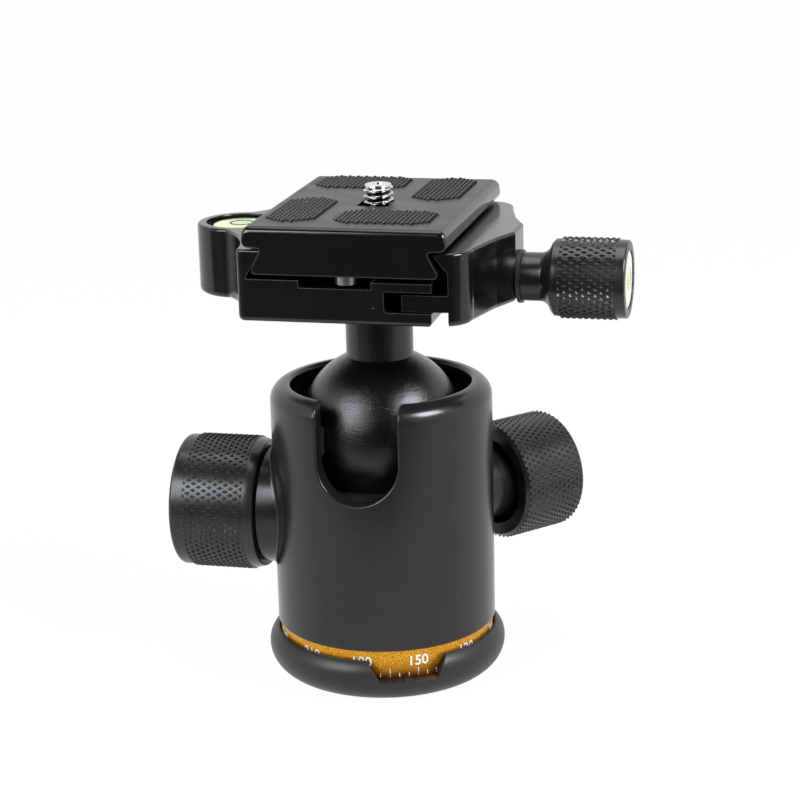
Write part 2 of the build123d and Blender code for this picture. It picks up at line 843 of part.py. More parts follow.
clamp_body -= Pos(ear_x, 0, 0) * disc(level_recess_radius, level_recess_bottom, clamp_top)
parts["clamp_body"] = clamp_body
parts["level_vial"] = Pos(ear_x, 0, 0) * disc(
    level_vial_radius, level_recess_bottom, level_vial_top
)
parts["level_case"] = Pos(ear_x, 0, 0) * ring(
    level_recess_radius - thread_gap,
    level_vial_radius + thread_gap,
    level_recess_bottom,
    level_case_top,
)

# ---------------------------------------------------------------- movable jaw
jaw_side = [
    Line((tongue_end, -jaw_half_length), (jaw_corner_start, -jaw_half_length)),
    SagittaArc(
        (jaw_corner_start, -jaw_half_length), (jaw_corner_x, -jaw_corner_y), -jaw_corner_bow
    ),
    Line((jaw_corner_x, -jaw_corner_y), (jaw_hip_x, -jaw_hip_half)),
    Line((jaw_hip_x, -jaw_hip_half), (jaw_boss_x, -jaw_boss_half)),
]
jaw_outline = Curve() + jaw_side
jaw_outline += [edge.mirror(Plane.XZ) for edge in jaw_side]
jaw_outline += [
    Line((jaw_boss_x, -jaw_boss_half), (jaw_boss_x, jaw_boss_half)),
    Line((tongue_end, -jaw_half_length), (tongue_end, jaw_half_length)),
]
jaw_plan = Pos(0, 0, stem_top) * extrude(make_face(jaw_outline), clamp_top - stem_top)
jaw_plan = fillet(jaw_plan.faces().sort_by(Axis.Z)[-1].edges(), jaw_top_round)
jaw_plan = fillet(jaw_plan.faces().sort_by(Axis.Z)[0].edges(), jaw_bottom_round)
jaw_profile = long_y(
    (
        (jaw_face, stem_top),
        (jaw_face, tongue_bottom),
        (tongue_end, tongue_bottom),
        (tongue_end, tongue_top),
        (jaw_face, tongue_top),
        (jaw_face, jaw_flank_bottom),
        (jaw_nose, jaw_flank_top),
        (jaw_nose, clamp_top),
        (jaw_boss_x, clamp_top),
        (jaw_boss_x, stem_top),
    ),
    jaw_half_length,
)
movable_jaw = jaw_plan & jaw_profile
movable_jaw -= block(
    tongue_end - overrun,
    -screw_block_half - open_gap,
    tongue_bottom,
    jaw_face,
    screw_block_half + open_gap,
    tongue_top,
)
movable_jaw -= clamp_line * disc(clamp_screw_radius + run_gap, jaw_face, jaw_boss_x)
parts["movable_jaw"] = movable_jaw

# ---------------------------------------------------------------- clamp knob
parts["knob_washer"] = clamp_line * ring(
    knob_washer_radius, clamp_screw_radius + run_gap, jaw_boss_x, knob_inner
)
clamp_knob = turned(
    Line((0, knob_inner), (neck_radius, knob_inner)),
    Line((neck_radius, knob_inner), (neck_radius, neck_end)),
    SagittaArc((neck_radius, neck_end), (flare_radius, flare_end), flare_bow),
    Line((flare_radius, flare_end), (flange_radius, flare_end + flange_bevel)),
    Line((flange_radius, flare_end + flange_bevel), (flange_radius, flange_end)),
    Line((flange_radius, flange_end), (knurl_radius, knurl_start)),
    Line((knurl_radius, knurl_start), (knurl_radius, knurl_end)),
    Line((knurl_radius, knurl_end), (knob_rim_radius, knurl_end)),
    Line((knob_rim_radius, knurl_end), (knob_rim_radius, clamp_knob_outer - knob_rim_round)),
    CenterArc(
        (knob_rim_radius - knob_rim_round, clamp_knob_outer - knob_rim_round),
        knob_rim_round,
        0,
        90,
    ),
    Line((knob_rim_radius - knob_rim_round, clamp_knob_outer), (0, clamp_knob_outer)),
    Line((0, clamp_knob_outer), (0, knob_inner)),
)
clamp_knob -= disc(knob_vial_radius + thread_gap, knob_vial_bottom, clamp_knob_outer)
clamp_knob -= disc(clamp_screw_radius + thread_gap, knob_inner, clamp_screw_end)
parts["clamp_knob"] = clamp_line * clamp_knob
parts["clamp_screw"] = clamp_line * disc(clamp_screw_radius, clamp_screw_start, clamp_screw_end)
parts["knob_vial"] = clamp_line * disc(
    knob_vial_radius, knob_vial_bottom, clamp_knob_outer - knob_vial_sink
)

# ---------------------------------------------------------------- quick-release plate
flange = block(
    -plate_half_width,
    -plate_half_length,
    flange_underside,
    plate_half_width,
    plate_half_length,
    plate_top,
)
flange = fillet(flange.edges().filter_by(Axis.Z), plate_corner_round)
flange = fillet(flange.faces().sort_by(Axis.Z)[-1].edges(), flange_top_round)
flange = fillet(flange.faces().sort_by(Axis.Z)[0].edges(), flange_bottom_round)
dovetail = long_y(
    (
        (-plate_neck_half, flange_underside),
        (-plate_neck_half, flank_top),
        (-dovetail_half, flank_bottom),
        (-dovetail_half, plate_underside),
        (dovetail_half, plate_underside),
        (dovetail_half, flank_bottom),
        (plate_neck_half, flank_top),
        (plate_neck_half, flange_underside),
    ),
    plate_half_length,
)
dovetail = fillet(
    dovetail.faces().sort_by(Axis.Z)[0].edges().filter_by(Axis.Y), dovetail_round
)
plate = flange + dovetail


def slot(half_width, bottom, top):
    """Long hole along Y, wider than the screw's slot by the same amount all round."""
    length = slot_length + 2 * (half_width - slot_half)
    shape = Rot(0, 0, 90) * SlotOverall(length, 2 * half_width)
    return Pos(slot_x, slot_y, bottom) * extrude(shape, top - bottom)


plate -= slot(slot_half, plate_underside, plate_top)
plate -= slot(counter_half, plate_underside, counter_top)


def pad(x0, x1, y0, y1, gap, bottom, top):
    """Pad with rounded corners, smaller than its pocket by a gap all round."""
    shape = RectangleRounded(x1 - x0 - 2 * gap, y1 - y0 - 2 * gap, pad_round - gap)
    return Pos((x0 + x1) / 2, (y0 + y1) / 2, bottom) * extrude(shape, top - bottom)


pad_floor = plate_top - pad_depth
side_pad = (-pads_half_x, side_pad_width - pads_half_x, -pads_half_y, -side_pad_gap)
end_pad = (end_pad_inset - pads_half_x, pads_half_x, -pads_half_y, end_pad_width - pads_half_y)
for name, outline, turn in (
    ("pad_left", side_pad, 0),
    ("pad_right", side_pad, 180),
    ("pad_front", end_pad, 0),
    ("pad_back", end_pad, 180),
):
    place = Pos(pad_shift_x, pad_shift_y, 0) * Rot(0, 0, turn)
    plate -= place * pad(*outline, 0, pad_floor, plate_top)
    parts[name] = place * pad(*outline, pad_gap, pad_floor, plate_top + pad_proud)

stop_places = [Pos(0, side * stop_y, 0) for side in (-1, 1)]
for place in stop_places:
    plate -= place * disc(
        stop_screw_radius + thread_gap, plate_underside, plate_underside + stop_screw_length
    )
parts["plate"] = plate
stop_screw = disc(stop_head_radius, stop_head_bottom, plate_underside)
stop_screw += disc(stop_screw_radius, plate_underside, plate_underside + stop_screw_length)
parts["stop_screws"] = Compound([place * stop_screw for place in stop_places])

# ---------------------------------------------------------------- camera screw
camera_screw = turned_points(
    (0, camera_head_bottom),
    (camera_head_radius, camera_head_bottom),
    (camera_head_radius, camera_head_top),
    (camera_neck_radius, camera_head_top),
    (camera_neck_radius, camera_neck_top),
    (camera_thread_radius, camera_neck_top),
    (camera_thread_radius, camera_screw_top - tip_chamfer),
    (camera_thread_radius - tip_chamfer, camera_screw_top),
    (0, camera_screw_top),
)
camera_screw -= block(
    -camera_head_radius,
    -coin_slot_width / 2,
    camera_head_bottom,
    camera_head_radius,
    coin_slot_width / 2,
    camera_head_bottom + coin_slot_depth,
)
camera_screw -= block(
    -camera_thread_radius,
    -tip_slot_width / 2,
    camera_screw_top - tip_slot_depth,
    camera_thread_radius,
    tip_slot_width / 2,
    camera_screw_top,
)
parts["camera_screw"] = Pos(slot_x, camera_screw_y, 0) * camera_screw

# ---------------------------------------------------------------- export
os.makedirs("parts", exist_ok=True)
for name, shape in parts.items():
    export_step(shape, f"parts/{name}.step")
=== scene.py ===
# %% [markdown]
# # A tripod ball head, dressed in its finishes
# A ball head holds a camera on a tripod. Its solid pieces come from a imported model, which is loaded
# here as a fixed frame. This notebook keeps the pieces whose shape is already right and gives them a
# finish. It makes anew the ones that need more detail: the ball, the knurled knobs, the rubber pads,
# the bubble levels and the threaded camera screw.

# %% Load the frame
import json
import math

import bmesh
import bpy
from mathutils import Matrix, Vector


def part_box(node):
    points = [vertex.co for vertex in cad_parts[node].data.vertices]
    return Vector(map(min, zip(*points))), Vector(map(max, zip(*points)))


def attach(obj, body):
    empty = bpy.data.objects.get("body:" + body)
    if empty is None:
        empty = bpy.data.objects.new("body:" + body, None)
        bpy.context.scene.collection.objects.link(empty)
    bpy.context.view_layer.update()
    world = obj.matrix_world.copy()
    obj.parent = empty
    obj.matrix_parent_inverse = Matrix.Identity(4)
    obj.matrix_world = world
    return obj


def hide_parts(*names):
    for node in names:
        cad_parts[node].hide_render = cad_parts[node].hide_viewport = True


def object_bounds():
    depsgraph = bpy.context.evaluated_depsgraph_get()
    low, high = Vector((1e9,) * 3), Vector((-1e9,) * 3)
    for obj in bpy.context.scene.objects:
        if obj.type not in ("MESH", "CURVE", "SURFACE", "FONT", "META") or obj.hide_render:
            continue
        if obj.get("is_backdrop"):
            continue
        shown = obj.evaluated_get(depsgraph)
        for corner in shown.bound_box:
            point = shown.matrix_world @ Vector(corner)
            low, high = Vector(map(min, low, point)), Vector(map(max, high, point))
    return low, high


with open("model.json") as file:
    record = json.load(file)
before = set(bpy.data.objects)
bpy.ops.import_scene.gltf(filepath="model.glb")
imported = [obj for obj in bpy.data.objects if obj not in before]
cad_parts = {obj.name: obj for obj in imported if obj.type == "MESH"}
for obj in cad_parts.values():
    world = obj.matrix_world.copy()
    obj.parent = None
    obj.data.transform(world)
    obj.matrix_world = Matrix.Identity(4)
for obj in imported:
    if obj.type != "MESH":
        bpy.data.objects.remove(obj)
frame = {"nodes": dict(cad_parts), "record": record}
parts = frame["nodes"]
scene = bpy.context.scene
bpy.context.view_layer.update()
MM = 0.001

# %% [markdown]
# ## The camera
# A long lens from a little above shows the head nearly without perspective, as a product picture
# does. The lens looks at a point inside the housing. A camera that is aimed with to_track_quat stands
# level, so the small roll is a turn about its own viewing axis afterwards.

# %% Aim the camera
camera_place = Vector((115.4, -452.3, 195.5)) * MM
camera_aim = Vector((3.7, 1.9, 60.0)) * MM
camera_roll = math.radians(-1.44)
camera_angle = math.radians(20.19)

camera = bpy.data.objects.new("camera", bpy.data.cameras.new("camera"))
camera.data.angle = camera_angle
look = (camera_aim - camera_place).to_track_quat("-Z", "Y").to_matrix()
look = look @ Matrix.Rotation(camera_roll, 3, "Z")
camera.matrix_world = Matrix.Translation(camera_place) @ look.to_4x4()
scene.collection.objects.link(camera)
scene.camera = camera
scene.view_settings.view_transform = "Standard"
print("lens", round(camera.data.lens, 1), "mm, distance", round((camera_aim - camera_place).length, 3), "m")

# %% [markdown]
# ## Small helpers for node trees
# Every finish below is a tree of nodes. A few helpers keep the cells short. They fill a socket with a
# number or a link, add any node with its settings, do a sum, stretch a value, mix two colours, and
# start a new material. Inputs are named by their label or by their number, because some nodes have
# several inputs with one label.


# %% Node helpers
VMATH = "ShaderNodeVectorMath"


def feed(tree, socket, value):
    """Links an output to the socket, or sets the socket's own value."""
    if isinstance(value, bpy.types.NodeSocket):
        tree.links.new(value, socket)
    else:
        socket.default_value = value


def add(tree, kind, inputs=None, **settings):
    """Adds a node, sets its properties and feeds its inputs."""
    node = tree.nodes.new(kind)
    for name, value in settings.items():
        setattr(node, name, value)
    for name, value in (inputs or {}).items():
        feed(tree, node.inputs[name], value)
    return node


def maths(tree, operation, *values, kind="ShaderNodeMath", result=0):
    """The result of a maths node on some numbers or outputs."""
    return add(tree, kind, dict(enumerate(values)), operation=operation).outputs[result]


def spread(tree, value, low, high, start=0.0, end=1.0):
    """The value, which runs from start to end, stretched to run from low to high."""
    return add(tree, "ShaderNodeMapRange", {0: value, 1: start, 2: end, 3: low, 4: high}).outputs[0]


def blend(tree, share, first, second):
    """A colour that goes from the first to the second as share goes from 0 to 1."""
    inputs = {0: share, 6: first, 7: second}
    return add(tree, "ShaderNodeMix", inputs, data_type="RGBA").outputs[2]


def object_place(tree):
    """The place of a point in the object's own frame, which moves with the piece."""
    return add(tree, "ShaderNodeTexCoord").outputs["Object"]


def by_height(tree, foot, top, value=1.0):
    """A value that grows from 0 at one height to its full size at another, in mm."""
    up = add(tree, "ShaderNodeSeparateXYZ", {0: object_place(tree)}).outputs[2]
    return spread(tree, up, 0, value, foot * MM, top * MM)


def shader_of(material):
    """A material's tree and the inputs of its Principled shader."""
    tree = material.node_tree
    return tree, tree.nodes["Principled BSDF"].inputs


def new_material(name):
    """A new material, its tree and the inputs of its Principled shader."""
    material = bpy.data.materials.new(name)
    material.use_nodes = True
    return material, *shader_of(material)


print("helpers ready")

# %% [markdown]
# ## A plain white studio
# Black metal has almost no colour of its own. What shows it is what it reflects: a white backdrop
# behind gives grey top faces and pale edges, and a dark room in front leaves the front faces black.
# The world is white at strength 1 to the camera and to mirror-like rays, and softer as lighting.
# Black cards in front and overhead, which the camera doesn't see, stand for the dark half of the room.


# %% World, floor and cards
def rays_that_look(tree):
    """1 for the rays that see the backdrop: from the camera, a reflection or through glass."""
    path = add(tree, "ShaderNodeLightPath").outputs
    seen = maths(tree, "MAXIMUM", path["Is Camera Ray"], path["Is Glossy Ray"])
    return maths(tree, "MAXIMUM", seen, path["Is Transmission Ray"])


def stage_card(name, corners, material, seen_by_camera):
    """A flat card for the studio, which isn't part of the object."""
    data = bpy.data.meshes.new(name)
    data.from_pydata([Vector(corner) for corner in corners], [], [tuple(range(len(corners)))])
    data.materials.append(material)
    card = bpy.data.objects.new(name, data)
    card.visible_camera = seen_by_camera
    scene.collection.objects.link(card)
    card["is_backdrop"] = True


ambient_level = 0.55
floor_half = 3.0
floor_white_share = 0.97
floor_roughness = 0.8
card_near = -0.135
card_far = -0.95
card_half = 0.9
card_height = 1.0
ceiling_back = 0.4
card_lift = 0.0005

scene.world = bpy.data.worlds.new("studio")
scene.world.use_nodes = True
sky = scene.world.node_tree
feed(sky, sky.nodes["Background"].inputs["Color"], (1, 1, 1, 1))
feed(sky, sky.nodes["Background"].inputs["Strength"], spread(sky, rays_that_look(sky), ambient_level, 1))

floor_paint, tree, shader = new_material("pale_floor")
white = add(tree, "ShaderNodeEmission", {"Color": (1, 1, 1, 1)}).outputs[0]
share = maths(tree, "MULTIPLY", rays_that_look(tree), floor_white_share)
mixed = add(tree, "ShaderNodeMixShader", {0: share, 1: tree.nodes["Principled BSDF"].outputs[0], 2: white})
feed(tree, tree.nodes["Material Output"].inputs["Surface"], mixed.outputs[0])
feed(tree, shader["Roughness"], floor_roughness)
speckle = add(tree, "ShaderNodeTexNoise", {"Scale": 40.0}).outputs[0]
feed(tree, shader["Base Color"], blend(tree, speckle, (0.8, 0.8, 0.8, 1), (0.84, 0.84, 0.84, 1)))

card_black, tree, shader = new_material("card_black")
feed(tree, shader["Base Color"], (0.02, 0.02, 0.02, 1))

square = [(-1, -1), (1, -1), (1, 1), (-1, 1)]
black_cards = {
    "front_floor_card": [(x * card_half, card_near if y > 0 else card_far, card_lift) for x, y in square],
    "front_wall_card": [(x * card_half, card_far, card_height * (y + 1) / 2) for x, y in square],
    "ceiling_card": [(x * card_half, ceiling_back if y > 0 else card_far, card_height) for x, y in square],
}
stage_card("floor", [(x * floor_half, y * floor_half, 0) for x, y in square], floor_paint, True)
for name, corners in black_cards.items():
    stage_card(name, corners, card_black, False)
print("floor", 2 * floor_half, "m wide, dark from", card_near, "to", card_far)

# %% [markdown]
# ## Three soft lamps
# Each lamp is a square softbox that faces the head. The one on the right gives the bright spot on the
# ball, the weaker one at the front left its dull blotch, and the large one overhead draws a line along
# each rounded edge.


# %% Softboxes
day_white = (0.93, 0.97, 1.0)


def softbox(name, direction, distance, width, power):
    """A square area lamp that looks at the head from a direction."""
    lamp = bpy.data.lights.new(name, "AREA")
    lamp.size = width
    lamp.energy = power
    lamp.color = day_white
    box = bpy.data.objects.new(name, lamp)
    place = camera_aim + Vector(direction).normalized() * distance
    turn = (camera_aim - place).to_track_quat("-Z", "Y").to_matrix().to_4x4()
    box.matrix_world = Matrix.Translation(place) @ turn
    scene.collection.objects.link(box)

softbox("right_softbox", (0.72, -0.28, 0.62), distance=0.7, width=0.26, power=6.0)
softbox("left_softbox", (-0.54, -0.73, 0.50), distance=0.75, width=0.40, power=5.2)
softbox("top_softbox", (-0.05, 0.1, 1.0), distance=0.8, width=0.5, power=3.0)

# %% [markdown]
# ## Effects that many finishes share
# A shader node group is built once and placed in each finish with its own values. Fine grain is the
# orange-peel texture of a coat, with larger patches where it dried a little duller. Dust is a few
# tiny specks. Rubbed edges compares the surface's normal with one that is averaged over a short
# distance: they differ only at edges, which is where a coat wears first. Round edges gives out that
# averaged normal, so that a sharp edge catches the light as if it were rounded. Turning marks are the
# fine rings that a lathe leaves: they depend only on the height along an axis and the distance from it.


# %% Shared shader groups
def new_group(name, inputs, outputs):
    """An empty shader group, with its input and output sockets."""
    tree = bpy.data.node_groups.new(name, "ShaderNodeTree")
    for label, (kind, value) in inputs.items():
        socket = tree.interface.new_socket(name=label, in_out="INPUT", socket_type=kind)
        socket.default_value = value
    for label, kind in outputs.items():
        tree.interface.new_socket(name=label, in_out="OUTPUT", socket_type=kind)
    inside = tree.nodes.new("NodeGroupInput").outputs
    outside = tree.nodes.new("NodeGroupOutput").inputs
    return tree, inside, outside


def per_millimetre(tree, size):
    """The texture scale at which one cell is that many millimetres wide."""
    return maths(tree, "DIVIDE", 1 / MM, size)


FLOAT = "NodeSocketFloat"
VECTOR = "NodeSocketVector"

fine_grain, inside, outside = new_group(
    "fine grain",
    {"Grain": (FLOAT, 0.3), "Patch": (FLOAT, 9.0)},
    {"Height": FLOAT, "Patches": FLOAT},
)
here = object_place(fine_grain)
grain_inputs = {"Vector": here, "Scale": per_millimetre(fine_grain, inside["Grain"]), "Detail": 2.0}
patch_inputs = {"Vector": here, "Scale": per_millimetre(fine_grain, inside["Patch"]), "Detail": 3.0}
feed(fine_grain, outside["Height"], add(fine_grain, "ShaderNodeTexNoise", grain_inputs).outputs[0])
cloud = add(fine_grain, "ShaderNodeTexNoise", patch_inputs).outputs[0]
feed(fine_grain, outside["Patches"], spread(fine_grain, cloud, 0, 1, 0.35, 0.65))

dust, inside, outside = new_group(
    "dust",
    {"Spacing": (FLOAT, 2.0), "Share": (FLOAT, 0.1), "Speck": (FLOAT, 0.06)},
    {"Mask": FLOAT},
)
cell_inputs = {"Vector": object_place(dust), "Scale": per_millimetre(dust, inside["Spacing"])}
cells = add(dust, "ShaderNodeTexVoronoi", cell_inputs)
chance = add(dust, "ShaderNodeSeparateColor", {0: cells.outputs["Color"]}).outputs[0]
chosen = maths(dust, "LESS_THAN", chance, inside["Share"])
small = maths(dust, "LESS_THAN", cells.outputs["Distance"], inside["Speck"])
feed(dust, outside["Mask"], maths(dust, "MULTIPLY", chosen, small))

rubbed_edges, inside, outside = new_group(
    "rubbed edges",
    {"Reach": (FLOAT, 0.3), "Gain": (FLOAT, 5.0)},
    {"Mask": FLOAT},
)
reach = maths(rubbed_edges, "MULTIPLY", inside["Reach"], MM)
softened = add(rubbed_edges, "ShaderNodeBevel", {"Radius": reach}, samples=4).outputs[0]
normal = add(rubbed_edges, "ShaderNodeNewGeometry").outputs["Normal"]
likeness = maths(rubbed_edges, "DOT_PRODUCT", softened, normal, kind=VMATH, result=1)
change = maths(rubbed_edges, "SUBTRACT", 1.0, likeness)
patch_inputs = {"Vector": object_place(rubbed_edges), "Scale": 0.6 / MM, "Detail": 3.0}
patchy = add(rubbed_edges, "ShaderNodeTexNoise", patch_inputs).outputs[0]
worn = maths(rubbed_edges, "MULTIPLY", maths(rubbed_edges, "MULTIPLY", change, inside["Gain"]), patchy)
feed(rubbed_edges, outside["Mask"], add(rubbed_edges, "ShaderNodeClamp", {0: worn}).outputs[0])

round_edges, inside, outside = new_group("round edges", {"Reach": (FLOAT, 0.4)}, {"Normal": VECTOR})
reach = maths(round_edges, "MULTIPLY", inside["Reach"], MM)
softened = add(round_edges, "ShaderNodeBevel", {"Radius": reach}, samples=6).outputs[0]
feed(round_edges, outside["Normal"], softened)

turning_marks, inside, outside = new_group(
    "turning marks",
    {"Centre": (VECTOR, (0, 0, 0)), "Axis": (VECTOR, (0, 0, 1)), "Pitch": (FLOAT, 0.2)},
    {"Height": FLOAT},
)
arm = maths(turning_marks, "SUBTRACT", object_place(turning_marks), inside["Centre"], kind=VMATH)
height = maths(turning_marks, "DOT_PRODUCT", arm, inside["Axis"], kind=VMATH, result=1)
cross = maths(turning_marks, "CROSS_PRODUCT", arm, inside["Axis"], kind=VMATH)
radius = maths(turning_marks, "LENGTH", cross, kind=VMATH, result=1)
flat = add(turning_marks, "ShaderNodeCombineXYZ", {0: height, 1: radius}).outputs[0]
lines = {"Vector": flat, "Scale": per_millimetre(turning_marks, inside["Pitch"]), "Detail": 1.0}
rings = add(turning_marks, "ShaderNodeTexNoise", lines, noise_dimensions="2D").outputs[0]
feed(turning_marks, outside["Height"], rings)
print("groups", [group.name for group in bpy.data.node_groups])

# %% [markdown]
# ## One recipe for hard finishes
# Coated, anodised, plated and moulded surfaces differ in numbers rather than in kind. This recipe
# takes a colour, a second colour for its patches, a range of roughness, and the size and depth of the
# grain. Turning marks are added where a piece came off a lathe. Where a finish is worn, its wear mask
# also sets how far the light rounds its edges, up to a millimetre. A blasted surface takes its
# roughness from the grain instead of the patches. A value that is the same all over goes straight
# onto the shader's own socket.


# %% The recipe
def use(tree, group, **inputs):
    """Places a shared group in a finish and returns its outputs."""
    node = tree.nodes.new("ShaderNodeGroup")
    node.node_tree = group
    for name, value in inputs.items():
        feed(tree, node.inputs[name], value)
    return node.outputs


def finish(name, colour, patch_colour, roughness, grain, depth, worn=None, dusty=0.0, turned=None, metal=0.0,
           coat=0.0, gain=5.0, relief=0.05, soften=0.0, specular=0.5, blasted=False):
    """A procedural finish. grain, relief and soften are in mm, and turned is (centre, axis, pitch).
    roughness is None where it is made afterwards."""
    material, tree, shader = new_material(name)
    shader["Metallic"].default_value = metal
    shader["Coat Weight"].default_value = coat
    shader["Coat Roughness"].default_value = 0.08
    shader["Specular IOR Level"].default_value = specular
    surface = use(tree, fine_grain, Grain=grain)
    paint = blend(tree, surface["Patches"], (*colour, 1), (*patch_colour, 1))
    reach = soften
    if worn:
        reach = use(tree, rubbed_edges, Gain=gain)["Mask"]
        paint = blend(tree, reach, paint, (*worn, 1))
    if dusty:
        speck = use(tree, dust, Share=dusty)["Mask"]
        paint = blend(tree, maths(tree, "MULTIPLY", speck, 0.5), paint, (0.3, 0.3, 0.29, 1))
    feed(tree, shader["Base Color"], paint)
    bumps = surface["Height"]
    if turned:
        centre, axis, pitch = turned
        marks = use(tree, turning_marks, Centre=centre, Axis=axis, Pitch=pitch)["Height"]
        bumps = maths(tree, "ADD", bumps, marks)
    if roughness:
        rough = spread(tree, surface["Patches"], *roughness)
        if blasted:
            rough = spread(tree, surface["Height"], *roughness, 0.38, 0.62)
        if turned:
            rough = maths(tree, "ADD", rough, spread(tree, marks, -0.05, 0.05))
        feed(tree, shader["Roughness"], rough)
    bump = add(tree, "ShaderNodeBump", {"Height": bumps, "Strength": depth, "Distance": relief * MM})
    if worn or soften:
        feed(tree, bump.inputs["Normal"], use(tree, round_edges, Reach=reach)["Normal"])
    feed(tree, shader["Normal"], bump.outputs[0])
    return material


print("recipe ready")

# %% [markdown]
# ## The black finishes
# The housing and the base have a satin coat. The clamp and the plate have a glossier one, which takes
# crisp lines of light along its edges. The plate's top is blasted, so it is rougher than its sides.
# The ball is blasted with fine beads before it is anodised, so its roughness changes from grain to
# grain. The knobs are black anodised straight from the lathe, and their fine rings follow each knob's
# own screw.

# %% Finishes
knob_height = 0.0356
main_centre = Vector((0, 0, knob_height))
main_axis = Vector((-1, 0, 0))
pan_azimuth = math.radians(49.4)
pan_axis = Vector((math.cos(pan_azimuth), math.sin(pan_azimuth), 0))
clamp_centre = Vector((0, 0, 0.0888))
clamp_axis = Vector((1, 0, 0))
upright = Vector((0, 0, 1))

worn_black = (0.12, 0.12, 0.13)
satin_coat = finish("satin_coat", (0.010, 0.009, 0.010), (0.013, 0.012, 0.013), (0.20, 0.26), 0.35, 0.10,
                    worn=worn_black, dusty=0.05, specular=0.4)
gloss_coat = finish("gloss_coat", (0.003, 0.003, 0.003), (0.004, 0.004, 0.004), (0.10, 0.15), 0.5, 0.04,
                    worn=worn_black, dusty=0.04, gain=3.0)
jaw_coat = finish("jaw_coat", (0.003, 0.003, 0.003), (0.004, 0.004, 0.004), (0.12, 0.17), 0.5, 0.04,
                  worn=worn_black, dusty=0.04, gain=3.0)
base_coat = finish("base_coat", (0.010, 0.009, 0.010), (0.013, 0.012, 0.013), (0.36, 0.44), 0.3, 0.12,
                   soften=0.3, specular=0.4)
blasted_black = finish("blasted_black", (0.004, 0.004, 0.005), (0.006, 0.006, 0.007), (0.07, 0.24), 0.3, 1.0,
                       relief=0.09, blasted=True)
plate_coat = finish("plate_coat", (0.003, 0.003, 0.003), (0.004, 0.004, 0.004), None, 0.4, 0.05,
                    worn=(0.05, 0.05, 0.052))
tree, shader = shader_of(plate_coat)
sides = spread(tree, use(tree, fine_grain, Grain=0.4, Patch=7.0)["Patches"], 0.12, 0.18)
blasted_top = by_height(tree, 103.5, 103.95, 0.24)
feed(tree, shader["Roughness"], maths(tree, "ADD", sides, blasted_top))
neck_black = finish("neck_black", (0.008, 0.008, 0.010), (0.012, 0.012, 0.014), (0.22, 0.3), 0.3, 0.08,
                    turned=(Vector(), upright, 0.3))


def knob_black(name, centre, axis):
    """Black anodised aluminium that was turned about a knob's own screw."""
    return finish(name, (0.008, 0.008, 0.009), (0.012, 0.012, 0.013), (0.22, 0.32), 0.25, 0.12,
                  worn=(0.09, 0.09, 0.09), dusty=0.05, turned=(centre, axis, 0.18), gain=2.0)


main_black = knob_black("main_knob_black", main_centre, main_axis)
pan_black = knob_black("pan_knob_black", main_centre, pan_axis)
clamp_black = knob_black("clamp_knob_black", clamp_centre, clamp_axis)
print("black finishes", [m.name for m in bpy.data.materials if "black" in m.name])

# %% [markdown]
# ## Metal, plastic and the level's fluid
# The screws are plain steel, the bush in the foot is brass, and the running parts inside are bare
# aluminium with white and black acetal washers. The camera screw is plated bright, and the grooves of
# its thread are painted dark as painted shade. The degree ring is gold anodised, and it is painted
# darker low in the collar as painted shade, where little light reaches.

# %% Other finishes
bare_aluminium = finish("bare_aluminium", (0.66, 0.66, 0.68), (0.72, 0.72, 0.73), (0.25, 0.35), 0.3, 0.1,
                        metal=1.0, turned=(Vector(), upright, 0.25))
brass = finish("brass", (0.70, 0.50, 0.22), (0.76, 0.56, 0.27), (0.22, 0.34), 0.3, 0.1, metal=1.0,
               turned=(Vector(), upright, 0.25))
plain_steel = finish("plain_steel", (0.42, 0.42, 0.43), (0.50, 0.50, 0.51), (0.25, 0.38), 0.25, 0.12,
                     metal=1.0)
spring_steel = finish("spring_steel", (0.16, 0.16, 0.18), (0.24, 0.23, 0.23), (0.3, 0.4), 0.25, 0.1,
                      metal=1.0)

screw_x = 0.4
screw_y = 0.8
# Painted shade: the screw's base colour is dark, and only its crests and tip get the bright plating.
groove_shade_colour = (0.035, 0.032, 0.03)
screw_steel = finish("screw_steel", groove_shade_colour, groove_shade_colour, (0.10, 0.16), 0.4, 0.05, metal=1.0)
tree, shader = shader_of(screw_steel)
painted_groove_shade = shader["Base Color"].links[0].from_socket
aside = maths(tree, "SUBTRACT", object_place(tree), (screw_x * MM, screw_y * MM, 0.0), kind=VMATH)
aside = maths(tree, "MULTIPLY", aside, (1.0, 1.0, 0.0), kind=VMATH)
reach = maths(tree, "LENGTH", aside, kind=VMATH, result=1)
# Painted shade in the thread's grooves: the plating fades to the dark colour below 3.05 mm from the axis and
# is fully dark by 2.65 mm. The tip above 106.7 mm stays bright.
crest = spread(tree, reach, 0, 1, 2.65 * MM, 3.05 * MM)
unshaded_share = maths(tree, "MAXIMUM", crest, by_height(tree, 106.7, 107.0))
patches = use(tree, fine_grain, Grain=0.4, Patch=3.0)["Patches"]
plated = blend(tree, patches, (0.62, 0.61, 0.59, 1), (0.72, 0.71, 0.69, 1))
feed(tree, shader["Base Color"], blend(tree, unshaded_share, painted_groove_shade, plated))

